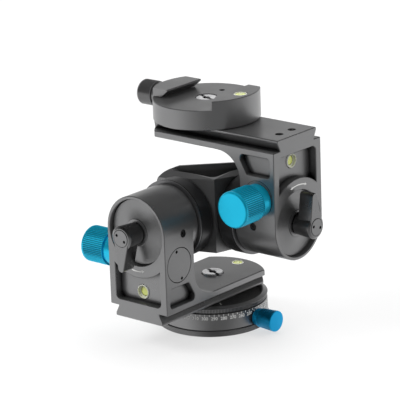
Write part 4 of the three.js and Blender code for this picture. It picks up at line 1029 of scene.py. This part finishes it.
def makeClamp():
    z, flat = named(clampSizes), clampFlat
    low, top, rodHeight = flat - clampHeight, flat + z.jawRise, flat - clampHeight + z.rodRise
    radius, edge, mouth = z.radius, z.edge, z.mouth

    def blank():
        return rod("h", low, top, radius, edge=edge, steps=144)

    disc = rod("h", low, flat, radius, edge=edge, steps=144)
    jaw = common(box("h", flat - past, top, mouth, radius + past, -radius, z.fixedHalf), blank())
    inside, leadEnd = mouth - z.mouthPast, z.leadLength - z.lead
    jaw = cut(jaw, prism([(inside, flat), (z.root, flat), (z.root, flat + z.foot),
                          (mouth, top - z.land), (inside, top - z.land)], "s", -radius, radius),
              prism([(mouth - past, -radius - past), (z.leadStart, -radius - past),
                     (z.leadStart, -z.lead), (mouth, leadEnd), (mouth - past, leadEnd)], "h",
                    flat, top + past))
    base = join(disc, jaw)
    inner, leg = z.legInner - gap, flat - z.legDepth
    tools = [box("h", leg - z.legPlay, flat + past, -radius - past, -inner,
                 -z.legHalf - gap, z.legHalf + gap),
             rod("a", -radius, -z.rodInner + gap, z.rodRadius + gap, 0, rodHeight, steps=32),
             rod("h", low - past, flat + past, z.shankBore, steps=32),
             socket("h", flat - z.screwWell, flat, z.screwWellRadius, edge=z.mouthEdge),
             socket("h", flat - z.stopDepth, flat, z.stopRadius, -z.stopSide, z.stopPlace, z.mouthEdge),
             rod("h", top - z.levelSink - gap, top + past, z.levelRadius + z.levelPlay,
                 z.levelPlace, z.levelSide)]
    guides = [side * z.guideSpacing / 2 for side in (-1, 1)]
    tools += [rod("a", -radius, -z.guideInner + gap, z.guide + gap, place, rodHeight, steps=24)
              for place in guides]
    finish(cut(base, *tools), "clampBody", upright, "upper_unit", looks["grey"],
           ["clamp_body"])

    foot = flat + gap
    bar = prism([(-radius - past, foot), (-z.root, foot), (-z.root, flat + z.foot),
                 (-mouth, top - z.land), (-mouth, top - edge), (-mouth - edge, top),
                 (-radius - past, top)], "s", -z.front, z.rear)
    bar = join(bar, box("h", leg, foot + past, -radius - past, -z.legInner, -z.legHalf, z.legHalf))
    bar = common(bar, blank())
    collar = lathe(softened([(-z.collarOuter, 0), (-z.collarOuter, z.collarRadius),
                             (z.collarInside - radius, z.collarRadius),
                             (z.collarInside - radius, 0)], z.soft), "a", 0, rodHeight, 64)
    bar = join(bar, collar)
    end = past - z.legInner
    bar = cut(bar, rod("a", -z.collarOuter - past, end, z.rodRadius + gap, 0, rodHeight, steps=32),
              *[rod("a", -z.legInner - z.guideReach, end, z.guide + gap, place, rodHeight, steps=24)
                for place in guides])
    finish(bar, "clampJaw", upright, "jaw", looks["grey"], ["clamp_jaw"])

    k = named(clampKnobSizes)
    roundStart = k.end - k.round
    profile = [(k.start, 0), (k.start, k.radius - k.edge), (k.start + k.edgeLength, k.radius),
               *arc(roundStart, k.radius - k.round, k.round, math.pi / 2, 0, 6), (k.end, 0)]
    knob = knurled(profile, k.start + k.knurlFrom, roundStart, k.ridges, k.depth, k.slant,
                   looks["satin"], k.rows)
    turn = Matrix(((0, 0, -1, 0), (1, 0, 0, 0), (0, 1, 0, rodHeight), (0, 0, 0, 1)))
    finish(knob, "clampKnob", upright @ turn, "jaw_knob", looks["satin"], ["clamp_knob"])
    makeLevel("clampLevel", upright, "upper_unit", "clamp_level", "h", top - z.levelSink, top,
              z.levelRadius, z.levelPlace, z.levelSide)


makeClamp()
print("clamp: done")


# The pieces inside keep their own solids and get a finish
innerLooks = {"bearing": "steel", "worm_wheel": "brass", "worm_bush": "brass", "spindle_nut": "steel",
              "spindle": "steel", "worm": "steel", "brake_ring": "steel", "lock_pad": "brass",
              "lock_screw": "steel", "bush": "steel", "guide_front": "steel", "guide_rear": "steel",
              "rod": "steel"}
for name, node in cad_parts.items():
    ending = next((e for e in innerLooks if name.endswith(e)), None)
    if ending and not node.hide_render:
        for holder in node.material_slots:
            holder.material = looks[innerLooks[ending]]
print("inner pieces: finished")


# Camera, lights and floor
cameraSizes = {"target": (4.26, -9.005, 90.517), "back": (0.62314, -0.72393, 0.29601),
               "distance": 1606.87, "rollDegrees": -2.0592, "focalPixels": 2639.394,
               "imagePixels": 400.0, "sensor": 36.0, "clipEndMetres": 50}


def makeCamera():
    z = named(cameraSizes)
    back = Vector(z.back).normalized()
    right = Vector((0, 0, 1)).cross(back).normalized()
    up = back.cross(right)
    roll = math.radians(z.rollDegrees)
    right, up = (right * math.cos(roll) + up * math.sin(roll),
                 up * math.cos(roll) - right * math.sin(roll))
    data = bpy.data.cameras.new("camera")
    data.sensor_width = z.sensor
    data.lens = z.focalPixels / z.imagePixels * z.sensor
    data.clip_end = z.clipEndMetres
    spot = (Vector(z.target) + back * z.distance) * mm
    scene.camera = newObject("camera", data)
    turn = Matrix((right, up, back)).transposed().to_4x4()
    scene.camera.matrix_world = Matrix.Translation(spot) @ turn


# places and sizes of lamps in metres; no lamp shows in a reflection
lightTarget = (0, 0, 0.08)
lightSizes = {
    "key": dict(spot=(-0.95, -1.45, 1.8), size=1.2, power=30.0),
    "side": dict(spot=(1.6, 0.9, 1.0), size=1.5, power=12.0),
    "above": dict(spot=(-0.3, 0.5, 1.9), size=1.7, power=20.0),
}
# seen: by the camera and through glass; plain: by matt surfaces; a mirror sees the wall, bright
# toward brightWay (degrees from +X) and dark on the other side, fading to highShare overhead
worldSizes = {"plainLevel": 0.6, "seenLevel": 0.965, "low": 0.25, "high": 0.55, "highShare": 0.15}
wallSizes = {"brightWay": 140.0, "darkAt": 0.0, "brightAt": 0.9, "darkLevel": 0.06, "brightLevel": 0.62}
groundSizes = {"brightWay": 150.0, "darkAt": -0.97, "brightAt": 0.0, "darkLevel": 0.27,
               "brightLevel": 1.0}


def mirrorLevel(tree, place, sizes):
    # how bright the surroundings look in a reflection, by compass direction
    z = named(sizes)
    way = math.radians(z.brightWay)
    unit = vectorNode(tree, "NORMALIZE", {0: vectorNode(tree, "MULTIPLY", {0: place, 1: (1, 1, 0)})})
    along = vectorNode(tree, "DOT_PRODUCT", {0: unit, 1: (math.cos(way), math.sin(way), 0)}, "Value")
    return ranged(tree, along, z.darkAt, z.brightAt, z.darkLevel, z.brightLevel)


def makeLights():
    for name, sizes in lightSizes.items():
        z = named(sizes)
        data = bpy.data.lights.new(name, "AREA")
        data.shape, data.size, data.energy = "DISK", z.size, z.power
        lamp, spot = newObject(name, data), Vector(z.spot)
        lamp.location, lamp.visible_glossy = spot, False
        lamp.rotation_euler = (spot - Vector(lightTarget)).to_track_quat("Z", "Y").to_euler()
    scene.world = bpy.data.worlds.new("studio")
    scene.world.use_nodes = True
    tree, z = scene.world.node_tree, named(worldSizes)
    path = addNode(tree, "ShaderNodeLightPath").outputs
    way = addNode(tree, "ShaderNodeTexCoord").outputs["Generated"]
    rise = addNode(tree, "ShaderNodeSeparateXYZ", {0: way}).outputs["Z"]
    mirror = mathNode(tree, "MULTIPLY", mirrorLevel(tree, way, wallSizes),
                      ranged(tree, rise, z.low, z.high, 1.0, z.highShare))
    seen = mathNode(tree, "MAXIMUM", path["Is Camera Ray"], path["Is Transmission Ray"])
    plain = mathNode(tree, "MULTIPLY_ADD", seen, z.seenLevel - z.plainLevel, z.plainLevel)
    rest = mathNode(tree, "MULTIPLY", plain, mathNode(tree, "SUBTRACT", 1.0, path["Is Glossy Ray"]))
    level = mathNode(tree, "MULTIPLY_ADD", mirror, path["Is Glossy Ray"], rest)
    feed(tree, tree.nodes["Background"], {"Color": (1, 1, 1, 1), "Strength": level})


floorSizes = {"halfMetres": 9.0, "drop": 0.05, "seenLight": 0.62, "colour": 0.32, "rough": 0.9}


def makeFloor():
    z = named(floorSizes)
    half = z.halfMetres / mm
    floor = solid([(-half, -half, -z.drop), (half, -half, -z.drop), (half, half, -z.drop),
                   (-half, half, -z.drop)], [[0, 1, 2, 3]])
    floor.data.transform(Matrix.Scale(mm, 4))
    floor.name = "floor"
    look, tree, shader, spot = newMaterial("floor")
    feed(tree, shader, {"Base Color": (z.colour, z.colour, z.colour, 1), "Roughness": z.rough,
                        "Specular IOR Level": 0.0})
    path = addNode(tree, "ShaderNodeLightPath").outputs
    seen = mathNode(tree, "MAXIMUM", path["Is Camera Ray"], path["Is Transmission Ray"])
    light = mathNode(tree, "MULTIPLY", seen, z.seenLight)
    glow = addNode(tree, "ShaderNodeEmission", {"Strength": light})
    mirror = addNode(tree, "ShaderNodeEmission", {"Strength": mirrorLevel(tree, spot, groundSizes)})
    both = addNode(tree, "ShaderNodeAddShader", {0: shader.outputs[0], 1: glow.outputs[0]})
    pick = addNode(tree, "ShaderNodeMixShader", {0: path["Is Glossy Ray"], 1: both.outputs[0],
                                                 2: mirror.outputs[0]})
    feed(tree, tree.nodes["Material Output"], {"Surface": pick.outputs[0]})
    floor.data.materials.append(look)


makeCamera()
makeLights()
makeFloor()
scene.view_settings.view_transform = "Standard"
print("stage: camera, lights, floor")
